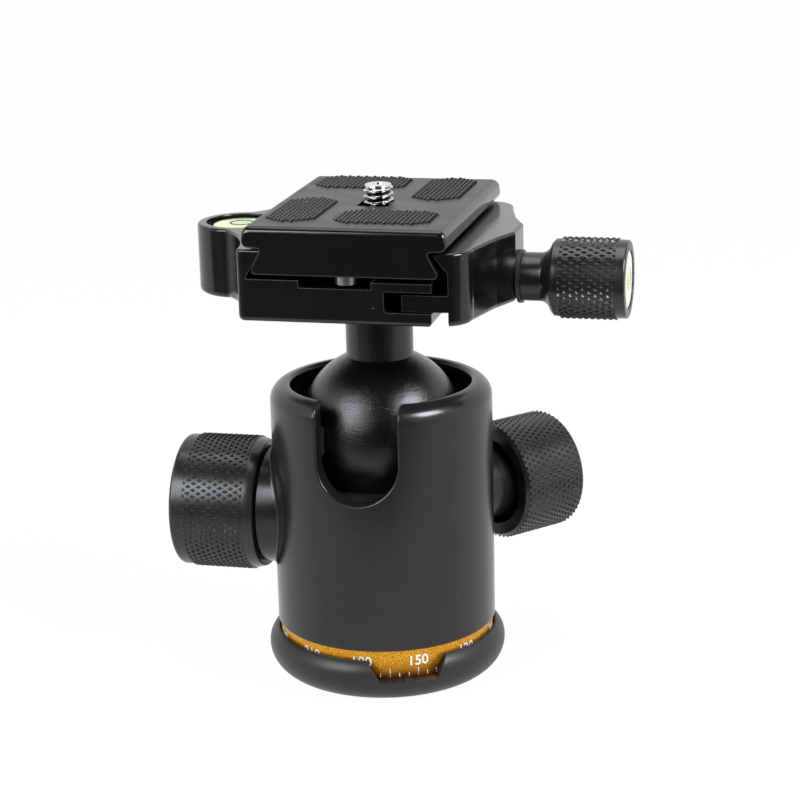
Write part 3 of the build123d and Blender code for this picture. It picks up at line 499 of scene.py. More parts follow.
white_acetal = finish("white_acetal", (0.72, 0.72, 0.69), (0.78, 0.78, 0.75), (0.4, 0.5), 0.3, 0.1)
black_acetal = finish("black_acetal", (0.015, 0.015, 0.015), (0.02, 0.02, 0.02), (0.4, 0.5), 0.3, 0.1)
rubber = finish("rubber", (0.005, 0.005, 0.005), (0.008, 0.008, 0.007), (0.26, 0.36), 0.12, 0.4, dusty=0.12,
                specular=0.35)
lime_fluid = finish("lime_fluid", (0.42, 0.56, 0.16), (0.50, 0.62, 0.24), (0.08, 0.14), 3.0, 0.03, coat=1.0)
pale_fluid = finish("pale_fluid", (0.50, 0.58, 0.36), (0.56, 0.64, 0.42), (0.08, 0.14), 3.0, 0.03, coat=1.0)
level_ink = finish("level_ink", (0.015, 0.02, 0.01), (0.02, 0.03, 0.015), (0.3, 0.4), 0.3, 0.05)
bubble_white = finish("bubble_white", (0.38, 0.47, 0.28), (0.44, 0.53, 0.33), (0.08, 0.12), 2.0, 0.02)
print_grey = finish("print_grey", (0.62, 0.62, 0.60), (0.70, 0.70, 0.68), (0.45, 0.55), 0.15, 0.1)

gold_ring, tree, shader = new_material("gold_ring")
shader["Metallic"].default_value = 0.8
marks = use(tree, turning_marks, Pitch=0.12)["Height"]
grains = spread(tree, use(tree, fine_grain, Grain=0.2)["Height"], 0, 1, 0.38, 0.62)
gold = blend(tree, grains, (0.36, 0.13, 0.004, 1), (0.90, 0.44, 0.04, 1))
# Painted shade: the gold is painted darker towards the foot of the ring, low in the collar.
lit = by_height(tree, 5.8, 9.4)
feed(tree, shader["Base Color"], blend(tree, lit, (0.20, 0.06, 0.003, 1), gold))
feed(tree, shader["Roughness"], spread(tree, marks, 0.28, 0.42))
bump = add(tree, "ShaderNodeBump", {"Height": marks, "Strength": 0.15, "Distance": 0.05 * MM})
feed(tree, shader["Normal"], bump.outputs[0])
print("finishes", len(bpy.data.materials))

# %% [markdown]
# ## Dress the solid pieces
# The record names a material slot for each solid. One table gives each slot its finish. A second one
# names the few solids that differ from their slot, such as the knobs' caps, the base and the jaw.

# %% Give the solids their finishes
finish_of_slot = {
    "black_coat": satin_coat,
    "black_gloss": gloss_coat,
    "black_anodised": main_black,
    "black_ball": blasted_black,
    "gold_ring": gold_ring,
    "bare_aluminium": bare_aluminium,
    "brass_bush": brass,
    "steel_screws": plain_steel,
    "spring_steel": spring_steel,
    "bright_screw": screw_steel,
    "white_washer": white_acetal,
    "black_liner": black_acetal,
    "rubber_pad": rubber,
    "level_fluid": lime_fluid,
}
finish_of_node = {
    "base_cup": base_coat,
    "pan_knob_cap": pan_black,
    "main_knob_cap": main_black,
    "stem": neck_black,
    "level_case": gloss_coat,
    "movable_jaw": jaw_coat,
}
slot_of_node = {row["node"]: row["material_slot"] for row in frame["record"]["subparts"]}
for node, solid in parts.items():
    made = finish_of_node.get(node, finish_of_slot[slot_of_node[node]])
    solid.data.materials.clear()
    solid.data.materials.append(made)
print("dressed", len(parts), "solids; slots known for", len(slot_of_node))

# %% [markdown]
# ## Helpers for new meshes
# Every new mesh is a skin over rings of points, each joined to the next. A turned piece is an outline
# that is spun about an axis. The outline is a list of corners, each with a radius and a height in
# millimetres, and a third number where the corner is rounded. An outline that starts and ends on the
# axis gives a solid with closed poles. One that doesn't is joined end to end, which gives a ring.
# Places are matrices whose Z axis is the screw that the piece turns on.


# %% Mesh helpers
def place_on(centre, axis):
    """A matrix at the centre whose Z runs along the axis."""
    return Matrix.Translation(centre) @ Vector(axis).to_track_quat("Z", "Y").to_matrix().to_4x4()


def rounded(outline, steps=6):
    """The outline with each corner that has a third value turned into an arc of that radius."""
    points = []
    for index, corner in enumerate(outline):
        tip = Vector(corner[:2])
        if len(corner) == 2:
            points.append(tip)
            continue
        before = (Vector(outline[index - 1][:2]) - tip).normalized()
        after = (Vector(outline[(index + 1) % len(outline)][:2]) - tip).normalized()
        half = before.angle(after) / 2
        middle = tip + (before + after).normalized() * corner[2] / math.sin(half)
        start = (tip + before * corner[2] / math.tan(half) - middle).normalized()
        end = (tip + after * corner[2] / math.tan(half) - middle).normalized()
        points += [middle + start.slerp(end, step / steps) * corner[2] for step in range(steps + 1)]
    return points


def skin(rings, place=Matrix(), meet=False):
    """A bmesh of rings of points, in mm, each joined to the next. A ring of one point is a pole. The end
    rings are closed with a face, or joined to each other where they meet."""
    mesh = bmesh.new()
    made = [[mesh.verts.new(Vector(point) * MM) for point in ring] for ring in rings]
    ends = [] if meet else [ring for ring in (made[0], made[-1]) if len(ring) > 1]
    if meet:
        made.append(made[0])
    around = max(len(ring) for ring in made)
    for low, high in zip(made, made[1:]):
        for k in range(around):
            after = (k + 1) % around
            corners = [low[k % len(low)], low[after % len(low)], high[after % len(high)], high[k % len(high)]]
            mesh.faces.new(list(dict.fromkeys(corners)))
    for ring in ends:
        mesh.faces.new(ring)
    bmesh.ops.recalc_face_normals(mesh, faces=mesh.faces)
    mesh.transform(place)
    return mesh


def circle(radius, height, count):
    """Points round a circle about Z."""
    angles = [math.tau * k / count for k in range(count)]
    return [(radius * math.cos(angle), radius * math.sin(angle), height) for angle in angles]


def lathe(outline, place, turns=128):
    """A bmesh of the outline spun about the place's Z axis."""
    rings = [circle(radius, height, 1 if radius < 1e-6 else turns) for radius, height in rounded(outline)]
    return skin(rings, place, meet=len(rings[0]) > 1)


def shade(piece, material):
    """Gives a piece its finish and smooth shading. Large flat faces decide how the corners are shaded."""
    piece.data.materials.clear()
    piece.data.materials.append(material)
    piece.data.polygons.foreach_set("use_smooth", [True] * len(piece.data.polygons))
    piece.data.set_sharp_from_angle(angle=math.radians(35))
    flats = piece.modifiers.new("flats", "WEIGHTED_NORMAL")
    flats.keep_sharp = True
    make_real(piece)


def make_real(piece):
    """Turns what the modifiers show into the piece's own mesh."""
    evaluated = piece.evaluated_get(bpy.context.evaluated_depsgraph_get())
    made = bpy.data.meshes.new_from_object(evaluated)
    piece.modifiers.clear()
    piece.data = made


def carve(piece, cutters):
    """Takes the cutters away from a piece, and removes them."""
    for block in cutters:
        cut = piece.modifiers.new(block.name, "BOOLEAN")
        cut.object = block
        cut.operation = "DIFFERENCE"
    make_real(piece)
    for block in cutters:
        bpy.data.objects.remove(block)


def seat(piece, material, body, stands_for=()):
    """Finishes a piece, gives it its body and hides the solids that it stands for."""
    shade(piece, material)
    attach(piece, body)
    if stands_for:
        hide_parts(*stands_for)
    return piece


def plain_object(name, mesh):
    """Makes an object of a bmesh."""
    data = bpy.data.meshes.new(name)
    mesh.to_mesh(data)
    mesh.free()
    piece = bpy.data.objects.new(name, data)
    scene.collection.objects.link(piece)
    return piece


def new_piece(name, mesh, material, body, stands_for=()):
    """Makes an object of a bmesh and seats it."""
    piece = plain_object(name, mesh)
    seat(piece, material, body, stands_for)
    print(name, "on", body, len(piece.data.polygons), "faces")
    return piece


# %% [markdown]
# ## The ball and its neck
# The ball is the part that everybody looks at, so it is spun from a true half circle with many steps.
# The neck is screwed to it. It is a straight rod whose foot runs into the ball.

# %% Ball and neck
ball_radius = 18.0
ball_height = 54.3
neck_radius = 7.23
neck_top = 84.2
neck_round = 0.4
ball_steps = 96

turns = [math.pi * k / ball_steps for k in range(ball_steps + 1)]
half_circle = [(ball_radius * math.sin(turn), ball_height - ball_radius * math.cos(turn)) for turn in turns]
half_circle[0] = (0, half_circle[0][1])
half_circle[-1] = (0, half_circle[-1][1])
new_piece("ball_blasted", lathe(half_circle, Matrix(), 192), blasted_black, "ball", ["ball"])
neck_foot = ball_height + math.sqrt(ball_radius**2 - neck_radius**2) - 0.6
neck_outline = [(0, neck_foot), (neck_radius, neck_foot), (neck_radius, neck_top, neck_round), (0, neck_top)]
new_piece("neck", lathe(neck_outline, Matrix(), 96), neck_black, "stem", ["stem"])

# %% [markdown]
# ## Knurling with Geometry Nodes
# Knurling is pressed into a knob by two rollers with slanting teeth, so its grooves cross and leave
# rows of little four-sided pyramids. Each row is shifted by half a pyramid. A tree makes that from one
# truncated cone with four sides: it counts the pyramids round and along, works out the angle and the
# height of each from its number, and turns it to face outwards. What would stand past the ends of the
# band is pushed back to the end, which leaves half pyramids there as a real knurl has.


# %% The knurl tree
def new_tree(name, inputs):
    """An empty Geometry Nodes tree with its inputs, and a Geometry output."""
    tree = bpy.data.node_groups.new(name, "GeometryNodeTree")
    for label, kind in inputs.items():
        tree.interface.new_socket(name=label, in_out="INPUT", socket_type=kind)
    tree.interface.new_socket(name="Geometry", in_out="OUTPUT", socket_type="NodeSocketGeometry")
    return tree, tree.nodes.new("NodeGroupInput").outputs, tree.nodes.new("NodeGroupOutput").inputs[0]


def end_tree(tree, shapes, material, out):
    """Ends a tree in real geometry with its finish."""
    real = add(tree, "GeometryNodeRealizeInstances", {0: shapes}).outputs[0]
    feed(tree, out, add(tree, "GeometryNodeSetMaterial", {"Geometry": real, "Material": material}).outputs[0])


def stand_round(tree, angle, radius, height, count):
    """Points at an angle, a radius and a height about Z, and the turn that makes each face outwards."""
    sides = {0: maths(tree, "COSINE", angle), 1: maths(tree, "SINE", angle)}
    outward = add(tree, "ShaderNodeCombineXYZ", sides).outputs[0]
    spot = add(tree, VMATH, {0: outward, 3: radius}, operation="SCALE").outputs[0]
    lift = add(tree, "ShaderNodeCombineXYZ", {2: height}).outputs[0]
    spot = maths(tree, "ADD", spot, lift, kind=VMATH)
    points = add(tree, "GeometryNodePoints", {"Count": count, "Position": spot}).outputs[0]
    facing = add(tree, "FunctionNodeAxesToRotation", {0: outward, 1: (0.0, 0.0, 1.0)},
                 primary_axis="Z", secondary_axis="X").outputs[0]
    return points, facing


def grow(name, tree, place, **inputs):
    """Runs a tree on an empty mesh, and returns its result as a plain object whose place is in its mesh."""
    seed = bpy.data.objects.new(name, bpy.data.meshes.new(name))
    scene.collection.objects.link(seed)
    modifier = seed.modifiers.new("grow", "NODES")
    modifier.node_group = tree
    for item in tree.interface.items_tree:
        if item.in_out == "INPUT":
            modifier[item.identifier] = inputs[item.name]
    make_real(seed)
    seed.data.name = name
    seed.data.transform(place)
    return seed


INTEGER = "NodeSocketInt"
MATERIAL = "NodeSocketMaterial"
knurl, given, out = new_tree("knurl", {
    "Around": INTEGER, "Rows": INTEGER, "Radius": FLOAT, "Start": FLOAT, "Length": FLOAT,
    "Depth": FLOAT, "Tip": FLOAT, "Sink": FLOAT, "Finish": MATERIAL,
})
row_step = maths(knurl, "DIVIDE", given["Length"], maths(knurl, "SUBTRACT", given["Rows"], 1.0))
turn_step = maths(knurl, "DIVIDE", math.tau, given["Around"])
number = add(knurl, "GeometryNodeInputIndex").outputs[0]
row = maths(knurl, "FLOOR", maths(knurl, "DIVIDE", maths(knurl, "ADD", number, 0.5), given["Around"]))
shift = maths(knurl, "MULTIPLY", maths(knurl, "MODULO", row, 2.0), 0.5)
angle = maths(knurl, "MULTIPLY", maths(knurl, "ADD", number, shift), turn_step)
height = maths(knurl, "ADD", given["Start"], maths(knurl, "MULTIPLY", row, row_step))
middle = maths(knurl, "SUBTRACT", given["Radius"], maths(knurl, "MULTIPLY", given["Depth"], 0.5))
middle = maths(knurl, "SUBTRACT", middle, maths(knurl, "MULTIPLY", given["Sink"], 0.5))
count = maths(knurl, "MULTIPLY", given["Around"], given["Rows"])
points, facing = stand_round(knurl, angle, middle, height, count)
tall = maths(knurl, "ADD", given["Depth"], given["Sink"])
cone = add(knurl, "GeometryNodeMeshCone", {
    "Vertices": 4, "Radius Top": given["Tip"], "Radius Bottom": 1.0, "Depth": tall,
}).outputs[0]
half_width = maths(knurl, "MULTIPLY", maths(knurl, "MULTIPLY", turn_step, 0.5), given["Radius"])
cone_size = add(knurl, "ShaderNodeCombineXYZ", {0: row_step, 1: half_width, 2: 1.0}).outputs[0]
lower = add(knurl, "ShaderNodeCombineXYZ", {2: maths(knurl, "MULTIPLY", tall, -0.5)}).outputs[0]
centred = add(knurl, "GeometryNodeTransform", {"Geometry": cone, "Translation": lower}).outputs[0]
pyramid = add(knurl, "GeometryNodeTransform", {"Geometry": centred, "Scale": cone_size}).outputs[0]
copies = {"Points": points, "Instance": pyramid, "Rotation": facing}
placed = add(knurl, "GeometryNodeInstanceOnPoints", copies)
solid = add(knurl, "GeometryNodeRealizeInstances", {0: placed.outputs[0]}).outputs[0]
where = add(knurl, "ShaderNodeSeparateXYZ", {0: add(knurl, "GeometryNodeInputPosition").outputs[0]}).outputs
top = maths(knurl, "ADD", given["Start"], given["Length"])
kept = add(knurl, "ShaderNodeClamp", {0: where[2], 1: given["Start"], 2: top}).outputs[0]
cut = add(knurl, "ShaderNodeCombineXYZ", {0: where[0], 1: where[1], 2: kept}).outputs[0]
trimmed = add(knurl, "GeometryNodeSetPosition", {"Geometry": solid, "Position": cut}).outputs[0]
end_tree(knurl, trimmed, given["Finish"], out)
print("knurl tree has", len(knurl.nodes), "nodes")


# %% [markdown]
# ## The main locking knob
# The large knob on the left locks the ball. Its core is turned: a taper towards the housing, a band
# that carries the knurl, and a smooth rounded rim with a recess for its cap. The core stays a groove's
# depth below the knurl's crests. All three knobs are made by one function, from an outline and the
# size of their band.

# %% Main knob
knurl_depth = 0.42
knurl_tip = 0.16
knurl_sink = 0.3


def knob(body, place, material, outline, turns, crest, start, length, around, rows):
    """A knob's turned core, and a band of knurling whose crests lie at a radius. Sizes are in mm."""
    new_piece(body + "_core", lathe(outline, place, turns), material, body, [body])
    band = grow(body + "_knurl", knurl, place, Around=around, Rows=rows, Radius=crest * MM,
                Start=start * MM, Length=length * MM, Depth=knurl_depth * MM, Tip=knurl_tip,
                Sink=knurl_sink * MM, Finish=material)
    seat(band, material, body)
    band.data.polygons.foreach_set("use_smooth", [False] * len(band.data.polygons))
    print(band.name, len(band.data.polygons), "faces")


main_knob_outline = [
    (3.1, 26.1), (14.0, 26.1, 0.25), (14.5, 28.2), (14.5, 45.06, 0.9), (10.95, 45.06), (10.95, 43.91),
    (3.1, 43.91),
]
knob("main_knob", place_on(main_centre, main_axis), main_black, main_knob_outline, 160,
     crest=14.86, start=28.6, length=13.3, around=62, rows=12)

# %% [markdown]
# ## The panning knob
# The smaller knob behind on the right frees the head to turn on its base. A deep recess lets its
# skirt reach over the neck that it is screwed into, and its knurl runs to the outer edge.

# %% Panning knob
pan_knob_outline = [
    (9.8, 30.0), (12.3, 30.0), (12.9, 30.75), (12.9, 46.5, 0.6), (9.03, 46.5), (9.03, 45.35), (2.53, 45.35),
    (2.53, 37.0), (9.8, 37.0),
]
knob("pan_knob", place_on(main_centre, pan_axis), pan_black, pan_knob_outline, 160,
     crest=13.3, start=30.9, length=14.9, around=56, rows=13)

# %% [markdown]
# ## The clamp's knob
# A small knob closes the jaw on the plate. It is turned in one piece: a slim neck, a flare, a flange
# and a knurled band, and a rim round a bubble level in its end.

# %% Clamp knob
clamp_knob_outline = [
    (2.53, 31.5), (5.1, 31.5, 0.2), (5.1, 35.5), (5.35, 36.3), (5.9, 37.0), (6.6, 37.5), (7.4, 37.8),
    (8.1, 38.5), (8.1, 39.0), (8.15, 39.45), (8.15, 51.5), (8.2, 51.6), (8.2, 53.8, 0.45), (6.26, 53.8),
    (6.26, 50.4), (2.53, 50.4),
]
clamp_place = place_on(clamp_centre, clamp_axis)
knob("clamp_knob", clamp_place, clamp_black, clamp_knob_outline, 128,
     crest=8.57, start=39.9, length=11.6, around=37, rows=10)

# %% [markdown]
# ## The bubble levels
# A bull's-eye level is a low round box of green fluid under a clear lid. A ring is printed on it, and
# the bubble rests in the ring when the clamp is level. One level sits in the clamp's ear and one in
# the end of the knob.


# %% Levels
lid_round = 0.25
ring_share = 0.39
ring_half = 0.2
bubble_share = 0.33


def level(name, place, radius, bottom, top, material, ring_finish, body, node):
    """A round level with a domed lid, a printed ring and a bubble, all in mm along the place's Z."""
    shoulder = (radius, top - lid_round, 0.2)
    lid = [(0, bottom), (radius, bottom), shoulder, (radius * 0.85, top - 0.08), (0, top)]
    new_piece(name, lathe(lid, place, 96), material, body, [node])
    inner = radius * ring_share - ring_half
    outer = radius * ring_share + ring_half
    band = [(inner, top - 0.12), (outer, top - 0.12), (outer, top + 0.03), (inner, top + 0.03)]
    new_piece(name + "_ring", lathe(band, place, 64), ring_finish, body)
    bubble_radius = radius * bubble_share
    bubble = [(0, top - 0.2), (bubble_radius, top - 0.2), (bubble_radius, top - 0.02, 0.05), (0, top + 0.02)]
    new_piece(name + "_bubble", lathe(bubble, place, 48), bubble_white, body)


ear_centre = Vector((-0.0298, 0, 0))
ear_place = Matrix.Translation(ear_centre)
level("ear_level", ear_place, 6.15, 92.5, 98.8, lime_fluid, level_ink, "clamp", "level_vial")
level("knob_level", clamp_place, 6.2, 50.4, 53.78, pale_fluid, lime_fluid, "clamp_knob", "knob_vial")

# %% [markdown]
# ## The degree ring's scale
# The ring under the housing carries a scale from 0 to 360 degrees. A tick is a thin printed block,
# and one tree sets a given number of them round the ring. It runs twice, for the short ticks and for
# the long ones.

# %% Ticks
ticks, given, out = new_tree("ticks", {
    "Count": INTEGER, "Radius": FLOAT, "Middle": FLOAT, "Height": FLOAT, "Width": FLOAT, "Thickness": FLOAT,
    "Finish": MATERIAL,
})
number = add(ticks, "GeometryNodeInputIndex").outputs[0]
angle = maths(ticks, "MULTIPLY", number, maths(ticks, "DIVIDE", math.tau, given["Count"]))
points, facing = stand_round(ticks, angle, given["Radius"], given["Middle"], given["Count"])
size = add(ticks, "ShaderNodeCombineXYZ", {0: given["Height"], 1: given["Width"], 2: given["Thickness"]})
block = add(ticks, "GeometryNodeMeshCube", {"Size": size.outputs[0]}).outputs[0]
placed = add(ticks, "GeometryNodeInstanceOnPoints", {"Points": points, "Instance": block, "Rotation": facing})
end_tree(ticks, placed.outputs[0], given["Finish"], out)

ring_radius = 23.5
tick_foot = 5.7
for name, every, height in (("short_ticks", 5, 0.9), ("long_ticks", 15, 1.8)):
    marks = grow(name, ticks, Matrix(), Count=360 // every, Radius=ring_radius * MM,
                 Middle=(tick_foot + height / 2) * MM, Height=height * MM, Width=0.16 * MM,
                 Thickness=0.05 * MM, Finish=print_grey)
    seat(marks, print_grey, "housing")
    print(name, 360 // every)

# %% [markdown]
# ## The degree ring's numbers
# The numbers are printed above the long ticks, one for every thirty degrees. Each one is typed as a
# text, made a mesh, and bent round the ring: its width becomes an angle and its thickness a radius.

# %% Numbers
number_size = 3.1
number_foot = 8.1
proud = 0.025


def bent_number(text, azimuth):
    """The vertices and faces of a number that lies on the ring at an azimuth."""
    curve = bpy.data.curves.new(text, "FONT")
    curve.body = text
    curve.align_x = "CENTER"
    curve.size = number_size
    curve.extrude = proud
    curve.offset = 0.04
    typed = bpy.data.objects.new(text, curve)
    flat = bpy.data.meshes.new_from_object(typed)
    bent = []
    for vertex in flat.vertices:
        angle = math.radians(azimuth) + vertex.co.x / ring_radius
        reach = ring_radius + vertex.co.z
        height = number_foot + vertex.co.y
        bent.append(Vector((reach * math.cos(angle), reach * math.sin(angle), height)) * MM)
    faces = [tuple(face.vertices) for face in flat.polygons]
    bpy.data.objects.remove(typed)
    return bent, faces


vertices, faces = [], []
for degrees in range(0, 360, 30):
    bent, flat_faces = bent_number(str(degrees), 90 - degrees)
    faces += [tuple(index + len(vertices) for index in face) for face in flat_faces]
    vertices += bent
data = bpy.data.meshes.new("degree_numbers")
data.from_pydata(vertices, [], faces)
mesh = bmesh.new()
mesh.from_mesh(data)
bmesh.ops.remove_doubles(mesh, verts=mesh.verts, dist=1e-7)
bmesh.ops.recalc_face_normals(mesh, faces=mesh.faces)
new_piece("degree_numbers", mesh, print_grey, "housing")

# %% [markdown]
# ## The rubber pads
# Four pads of black rubber keep the camera from turning on the plate. Each is a slab with rounded
# corners, moulded with rows of small bumps for grip. The slab is a stack of rounded rectangles that
# shrink as they rise. A tree sets the bumps in staggered rows and drops those that would reach past
# the slab's edge.


# %% Pads
def rounded_rectangle(half_x, half_y, corner, steps=8):
    """Points round a rectangle with rounded corners."""
    points = []
    for quarter, (side_x, side_y) in enumerate(((1, 1), (-1, 1), (-1, -1), (1, -1))):
        for step in range(steps + 1):
            angle = math.pi / 2 * (quarter + step / steps)
            points.append((
                side_x * (half_x - corner) + corner * math.cos(angle),
                side_y * (half_y - corner) + corner * math.sin(angle),
            ))
    return points


def slab(centre, half_x, half_y, corner, bottom, top, edge):
    """A bmesh of a rounded rectangle with a rounded upper edge, in mm."""
    levels = [(0.0, bottom)]
    for step in range(5):
        angle = math.pi / 2 * step / 4
        levels.append((edge * (1 - math.cos(angle)), top - edge * (1 - math.sin(angle))))
    rings = []
    for inset, height in levels:
        outline = rounded_rectangle(half_x - inset, half_y - inset, corner - inset)
        rings.append([(centre[0] + x, centre[1] + y, height) for x, y in outline])
    return skin(rings)


dome_segments = 8
dome_rings = 5
bumps, given, out = new_tree("pad bumps", {
    "Half X": FLOAT, "Half Y": FLOAT, "Corner": FLOAT, "Step X": FLOAT, "Step Y": FLOAT, "Border": FLOAT,
    "Width": FLOAT, "Depth": FLOAT, "Height": FLOAT, "Top": FLOAT, "Finish": MATERIAL,
})
half_columns = maths(bumps, "CEIL", maths(bumps, "DIVIDE", given["Half X"], given["Step X"]))
columns = maths(bumps, "MULTIPLY", maths(bumps, "ADD", half_columns, 1.0), 2.0)
half_rows = maths(bumps, "CEIL", maths(bumps, "DIVIDE", given["Half Y"], given["Step Y"]))
rows = maths(bumps, "ADD", maths(bumps, "MULTIPLY", half_rows, 2.0), 1.0)
number = add(bumps, "GeometryNodeInputIndex").outputs[0]
row = maths(bumps, "FLOOR", maths(bumps, "DIVIDE", maths(bumps, "ADD", number, 0.5), columns))
column = maths(bumps, "SUBTRACT", number, maths(bumps, "MULTIPLY", row, columns))
shift = maths(bumps, "MULTIPLY", maths(bumps, "MODULO", row, 2.0), 0.5)
column = maths(bumps, "SUBTRACT", maths(bumps, "ADD", column, shift), maths(bumps, "MULTIPLY", columns, 0.5))
row = maths(bumps, "SUBTRACT", row, maths(bumps, "MULTIPLY", maths(bumps, "SUBTRACT", rows, 1.0), 0.5))
x = maths(bumps, "MULTIPLY", column, given["Step X"])
y = maths(bumps, "MULTIPLY", row, given["Step Y"])
past = {}
for axis, (value, half) in enumerate(((x, "Half X"), (y, "Half Y"))):
    over = maths(bumps, "SUBTRACT", maths(bumps, "ABSOLUTE", value), given[half])
    past[axis] = maths(bumps, "MAXIMUM", maths(bumps, "ADD", over, given["Corner"]), 0.0)
past = maths(bumps, "LENGTH", add(bumps, "ShaderNodeCombineXYZ", past).outputs[0], kind=VMATH, result=1)
outside_pad = maths(bumps, "GREATER_THAN", past, maths(bumps, "SUBTRACT", given["Corner"], given["Border"]))
spot = add(bumps, "ShaderNodeCombineXYZ", {0: x, 1: y, 2: given["Top"]}).outputs[0]
count = maths(bumps, "MULTIPLY", columns, rows)
points = add(bumps, "GeometryNodePoints", {"Count": count, "Position": spot})
dome_inputs = {"Segments": dome_segments, "Rings": dome_rings, "Radius": 1.0}
dome = add(bumps, "GeometryNodeMeshUVSphere", dome_inputs).outputs[0]
dome_sides = {0: given["Width"], 1: given["Depth"], 2: given["Height"]}
dome_size = add(bumps, "ShaderNodeCombineXYZ", dome_sides).outputs[0]
dome = add(bumps, "GeometryNodeTransform", {"Geometry": dome, "Scale": dome_size}).outputs[0]
wanted = maths(bumps, "SUBTRACT", 1.0, outside_pad)
placed = add(bumps, "GeometryNodeInstanceOnPoints", {
    "Points": points.outputs[0], "Selection": wanted, "Instance": dome,
})
end_tree(bumps, placed.outputs[0], given["Finish"], out)

pad_top = 104.03
pad_corner = 4.55
pad_boxes = {node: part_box(node) for node in ("pad_left", "pad_front", "pad_right", "pad_back")}
for node, (low, high) in pad_boxes.items():
    centre = (low + high) / 2
    half = (high - low) / 2
    flat_pad = slab(centre / MM, half.x / MM, half.y / MM, pad_corner, low.z / MM, pad_top, 0.25)
    new_piece(node + "_rubber", flat_pad, rubber, "plate", [node])
    grips = grow(node + "_grip", bumps, Matrix.Translation((centre.x, centre.y, 0)),
                 **{"Half X": half.x, "Half Y": half.y, "Corner": pad_corner * MM, "Step X": 1.9 * MM,
                    "Step Y": 0.73 * MM, "Border": 0.2 * MM, "Width": 0.62 * MM, "Depth": 0.34 * MM,
                    "Height": 0.5 * MM, "Top": pad_top * MM, "Finish": rubber})
    seat(grips, rubber, "plate")
    print(node, "has", len(grips.data.polygons) // (dome_segments * dome_rings), "bumps")

# %% [markdown]
# ## The quick-release plate
# The plate is cut from an extruded bar, so its end shows the bar's whole profile in one flat face: a
# wide flange above, a waist, and a dovetail below that the clamp grips. The mesh is that profile, with
# its corners rounded, run along Y. Towards each end it shrinks by a small radius, which rounds the
# edges that tumbling has softened, and more so near the top. Boolean cutters then take out the screw's
# slot, the wider slot below for its head, and the four pockets that the pads are glued into.


# %% Plate
def bar(profile, half_length, low_round, high_round, depth=3.0, steps=6):
    """A bmesh of a closed profile in x and z that runs along Y, in mm. The ends are rounded by low_round,
    which grows to high_round over the top few millimetres, the depth."""
    outline = rounded(profile)
    crown = max(point.y for point in outline)
    nearness = [max(0, 1 - (crown - point.y) / depth) for point in outline]
    rounds = [low_round + (high_round - low_round) * near for near in nearness]
    after = outline[1:] + outline[:1]
    winding = math.copysign(1, sum(a.cross(b) for a, b in zip(outline, after)))
    inward = []
    for index, point in enumerate(outline):
        arriving = (point - outline[index - 1]).normalized()
        leaving = (after[index] - point).normalized()
        along = (arriving + leaving).normalized()
        inward.append(Vector((-along.y, along.x)) * winding / arriving.dot(along))
    turns = [math.pi / 2 * step / steps for step in range(steps + 1)]
    flat_margin = 0.25
    levels = [(1.0, 0.0, flat_margin)] + [(1 - math.sin(turn), 1 - math.cos(turn), 0.0) for turn in turns]
    rings = []
    for side, order in ((-1, levels), (1, levels[::-1])):
        for inset, back, margin in order:
            ring = []
            for point, normal, radius in zip(outline, inward, rounds):
                spot = point + normal * (radius * inset + margin)
                ring.append((spot.x, side * (half_length - radius * back), spot.y))
            rings.append(ring)
    return skin(rings)


def cutter(name, outline, low, high):
    """A flat outline raised from one height to another, in mm, that a Boolean takes away."""
    return plain_object(name, skin([[(x, y, z) for x, y in outline] for z in (low, high)]))


def oblong(centre, half_width, front, back):
    """Points round a slot along Y whose back end is a half circle and whose front end is square."""
    middle = back - half_width
    turn = [math.pi * step / 16 for step in range(17)]
    arc = [(centre + half_width * math.cos(angle), middle + half_width * math.sin(angle)) for angle in turn]
    return [(centre - half_width, front), (centre + half_width, front)] + arc


pocket_gap = 0.05
above_plate = 106
half_flange = [
    (21.15, 104.0, 1.7), (21.15, 99.65, 1.35), (17.1, 99.5, 0.6), (19.3, 95.4, 1.2), (19.3, 94.05, 0.8),
]
plate_profile = half_flange + [(-corner[0], *corner[1:]) for corner in reversed(half_flange)]
plate = plain_object("plate_profiled", bar(plate_profile, 28.5, 0.4, 1.4))
cutters = [
    cutter("screw_slot", oblong(screw_x, 3.35, -5.3, screw_y + 3.6), 90, above_plate),
    cutter("head_slot", oblong(screw_x, 7.3, -9.2, screw_y + 7.4), 90, 97.5),
]
for node, (low, high) in pad_boxes.items():
    centre = (low + high) / 2 / MM
    half = (high - low) / 2 / MM
    outline = rounded_rectangle(half.x + pocket_gap, half.y + pocket_gap, pad_corner + pocket_gap)
    outline = [(centre.x + x, centre.y + y) for x, y in outline]
    cutters.append(cutter(node + "_pocket", outline, low.z / MM, above_plate))
carve(plate, cutters)
seat(plate, plate_coat, "plate", ["plate"])
print("plate", len(plate.data.polygons), "faces, its own corner normals", plate.data.has_custom_normals)

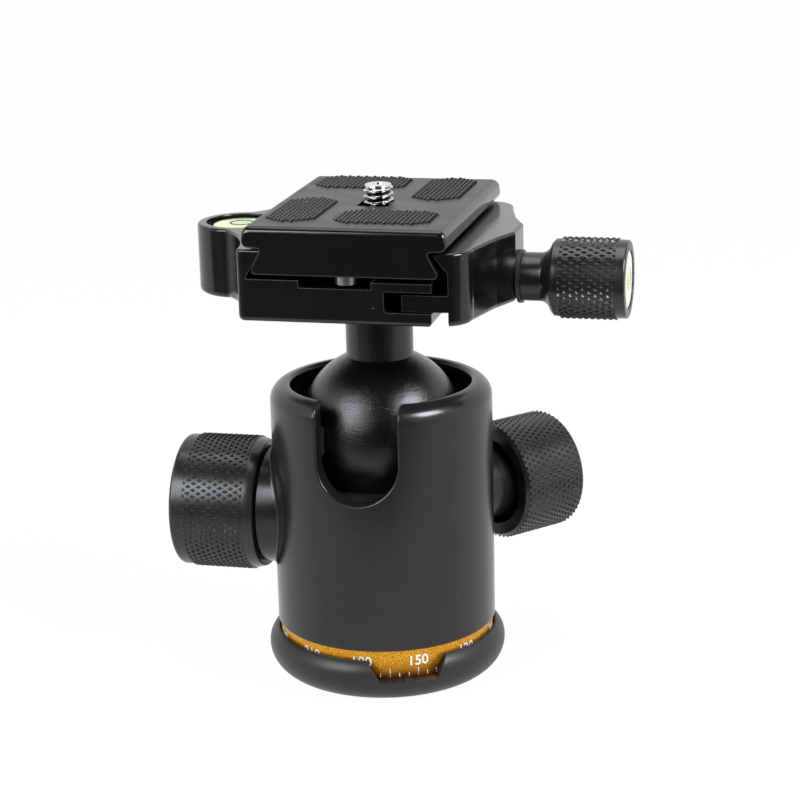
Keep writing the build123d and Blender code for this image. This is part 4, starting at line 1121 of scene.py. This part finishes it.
# %% [markdown]
# ## The camera screw
# The bright screw that goes into the camera has a quarter inch thread with twenty turns to the inch.
# A thread is a helix, so the radius at a point depends on its height and its angle together. The
# surface is a grid of rings whose radius follows a triangle wave. The tip keeps the small hole that
# it was held by in the lathe, and a Boolean cuts a slot for a coin across the head below.

# %% Camera screw
thread_radius = 3.175
thread_depth = 0.7
thread_pitch = 1.27
screw_place = Matrix.Translation((screw_x * MM, screw_y * MM, 0))
rows_per_turn = 10
thread_start = 98.6
thread_end = 106.9
screw_turns = 64
screw_foot = [(0, 94.25), (6.5, 94.25), (6.5, 96.4), (6.2, 96.7), (2.6, 96.7), (2.6, 98.3)]
screw_tip = [
    (2.45, 107.0), (2.85, 107.3), (2.75, 107.6), (2.45, 107.7), (1.15, 107.7), (1.0, 107.2), (0, 106.7),
]


def thread_reach(height, share):
    """The thread's radius at a height and at a share of a turn."""
    phase = ((height - thread_start) / thread_pitch - share) % 1.0
    wave = 1 - abs(2 * phase - 1)
    crest = min(wave * 1.25, 1.0)
    fade = min((height - thread_start) / 0.3, 1.0)
    return thread_radius - thread_depth * (1 - crest) * max(fade, 0)


def threaded_screw():
    """A bmesh of the screw: a head, a bare neck, the thread and a tip with a centre hole."""
    count = round((thread_end - thread_start) / thread_pitch * rows_per_turn)
    threaded = [(None, thread_start + (thread_end - thread_start) * k / count) for k in range(count + 1)]
    rings = []
    for radius, height in screw_foot + threaded + screw_tip:
        ring = []
        for k in range(1 if radius == 0 else screw_turns):
            reach = thread_reach(height, k / screw_turns) if radius is None else radius
            angle = math.tau * k / screw_turns
            ring.append((reach * math.cos(angle), reach * math.sin(angle), height))
        rings.append(ring)
    return skin(rings, screw_place)


screw = plain_object("camera_screw_threaded", threaded_screw())
coin_slot = [(screw_x - 8, screw_y - 0.7), (screw_x + 8, screw_y - 0.7), (screw_x + 8, screw_y + 0.7),
             (screw_x - 8, screw_y + 0.7)]
carve(screw, [cutter("coin_slot", coin_slot, 93, 95.25)])
seat(screw, screw_steel, "camera_screw", ["camera_screw"])
print("camera screw", len(screw.data.polygons), "faces")

# %% [markdown]
# ## Measure and finish
# The size of the dressed head is measured, without the floor and the cards. The dressed
# head may not grow past the solid one.

# %% Sizes and the last line
low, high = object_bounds()
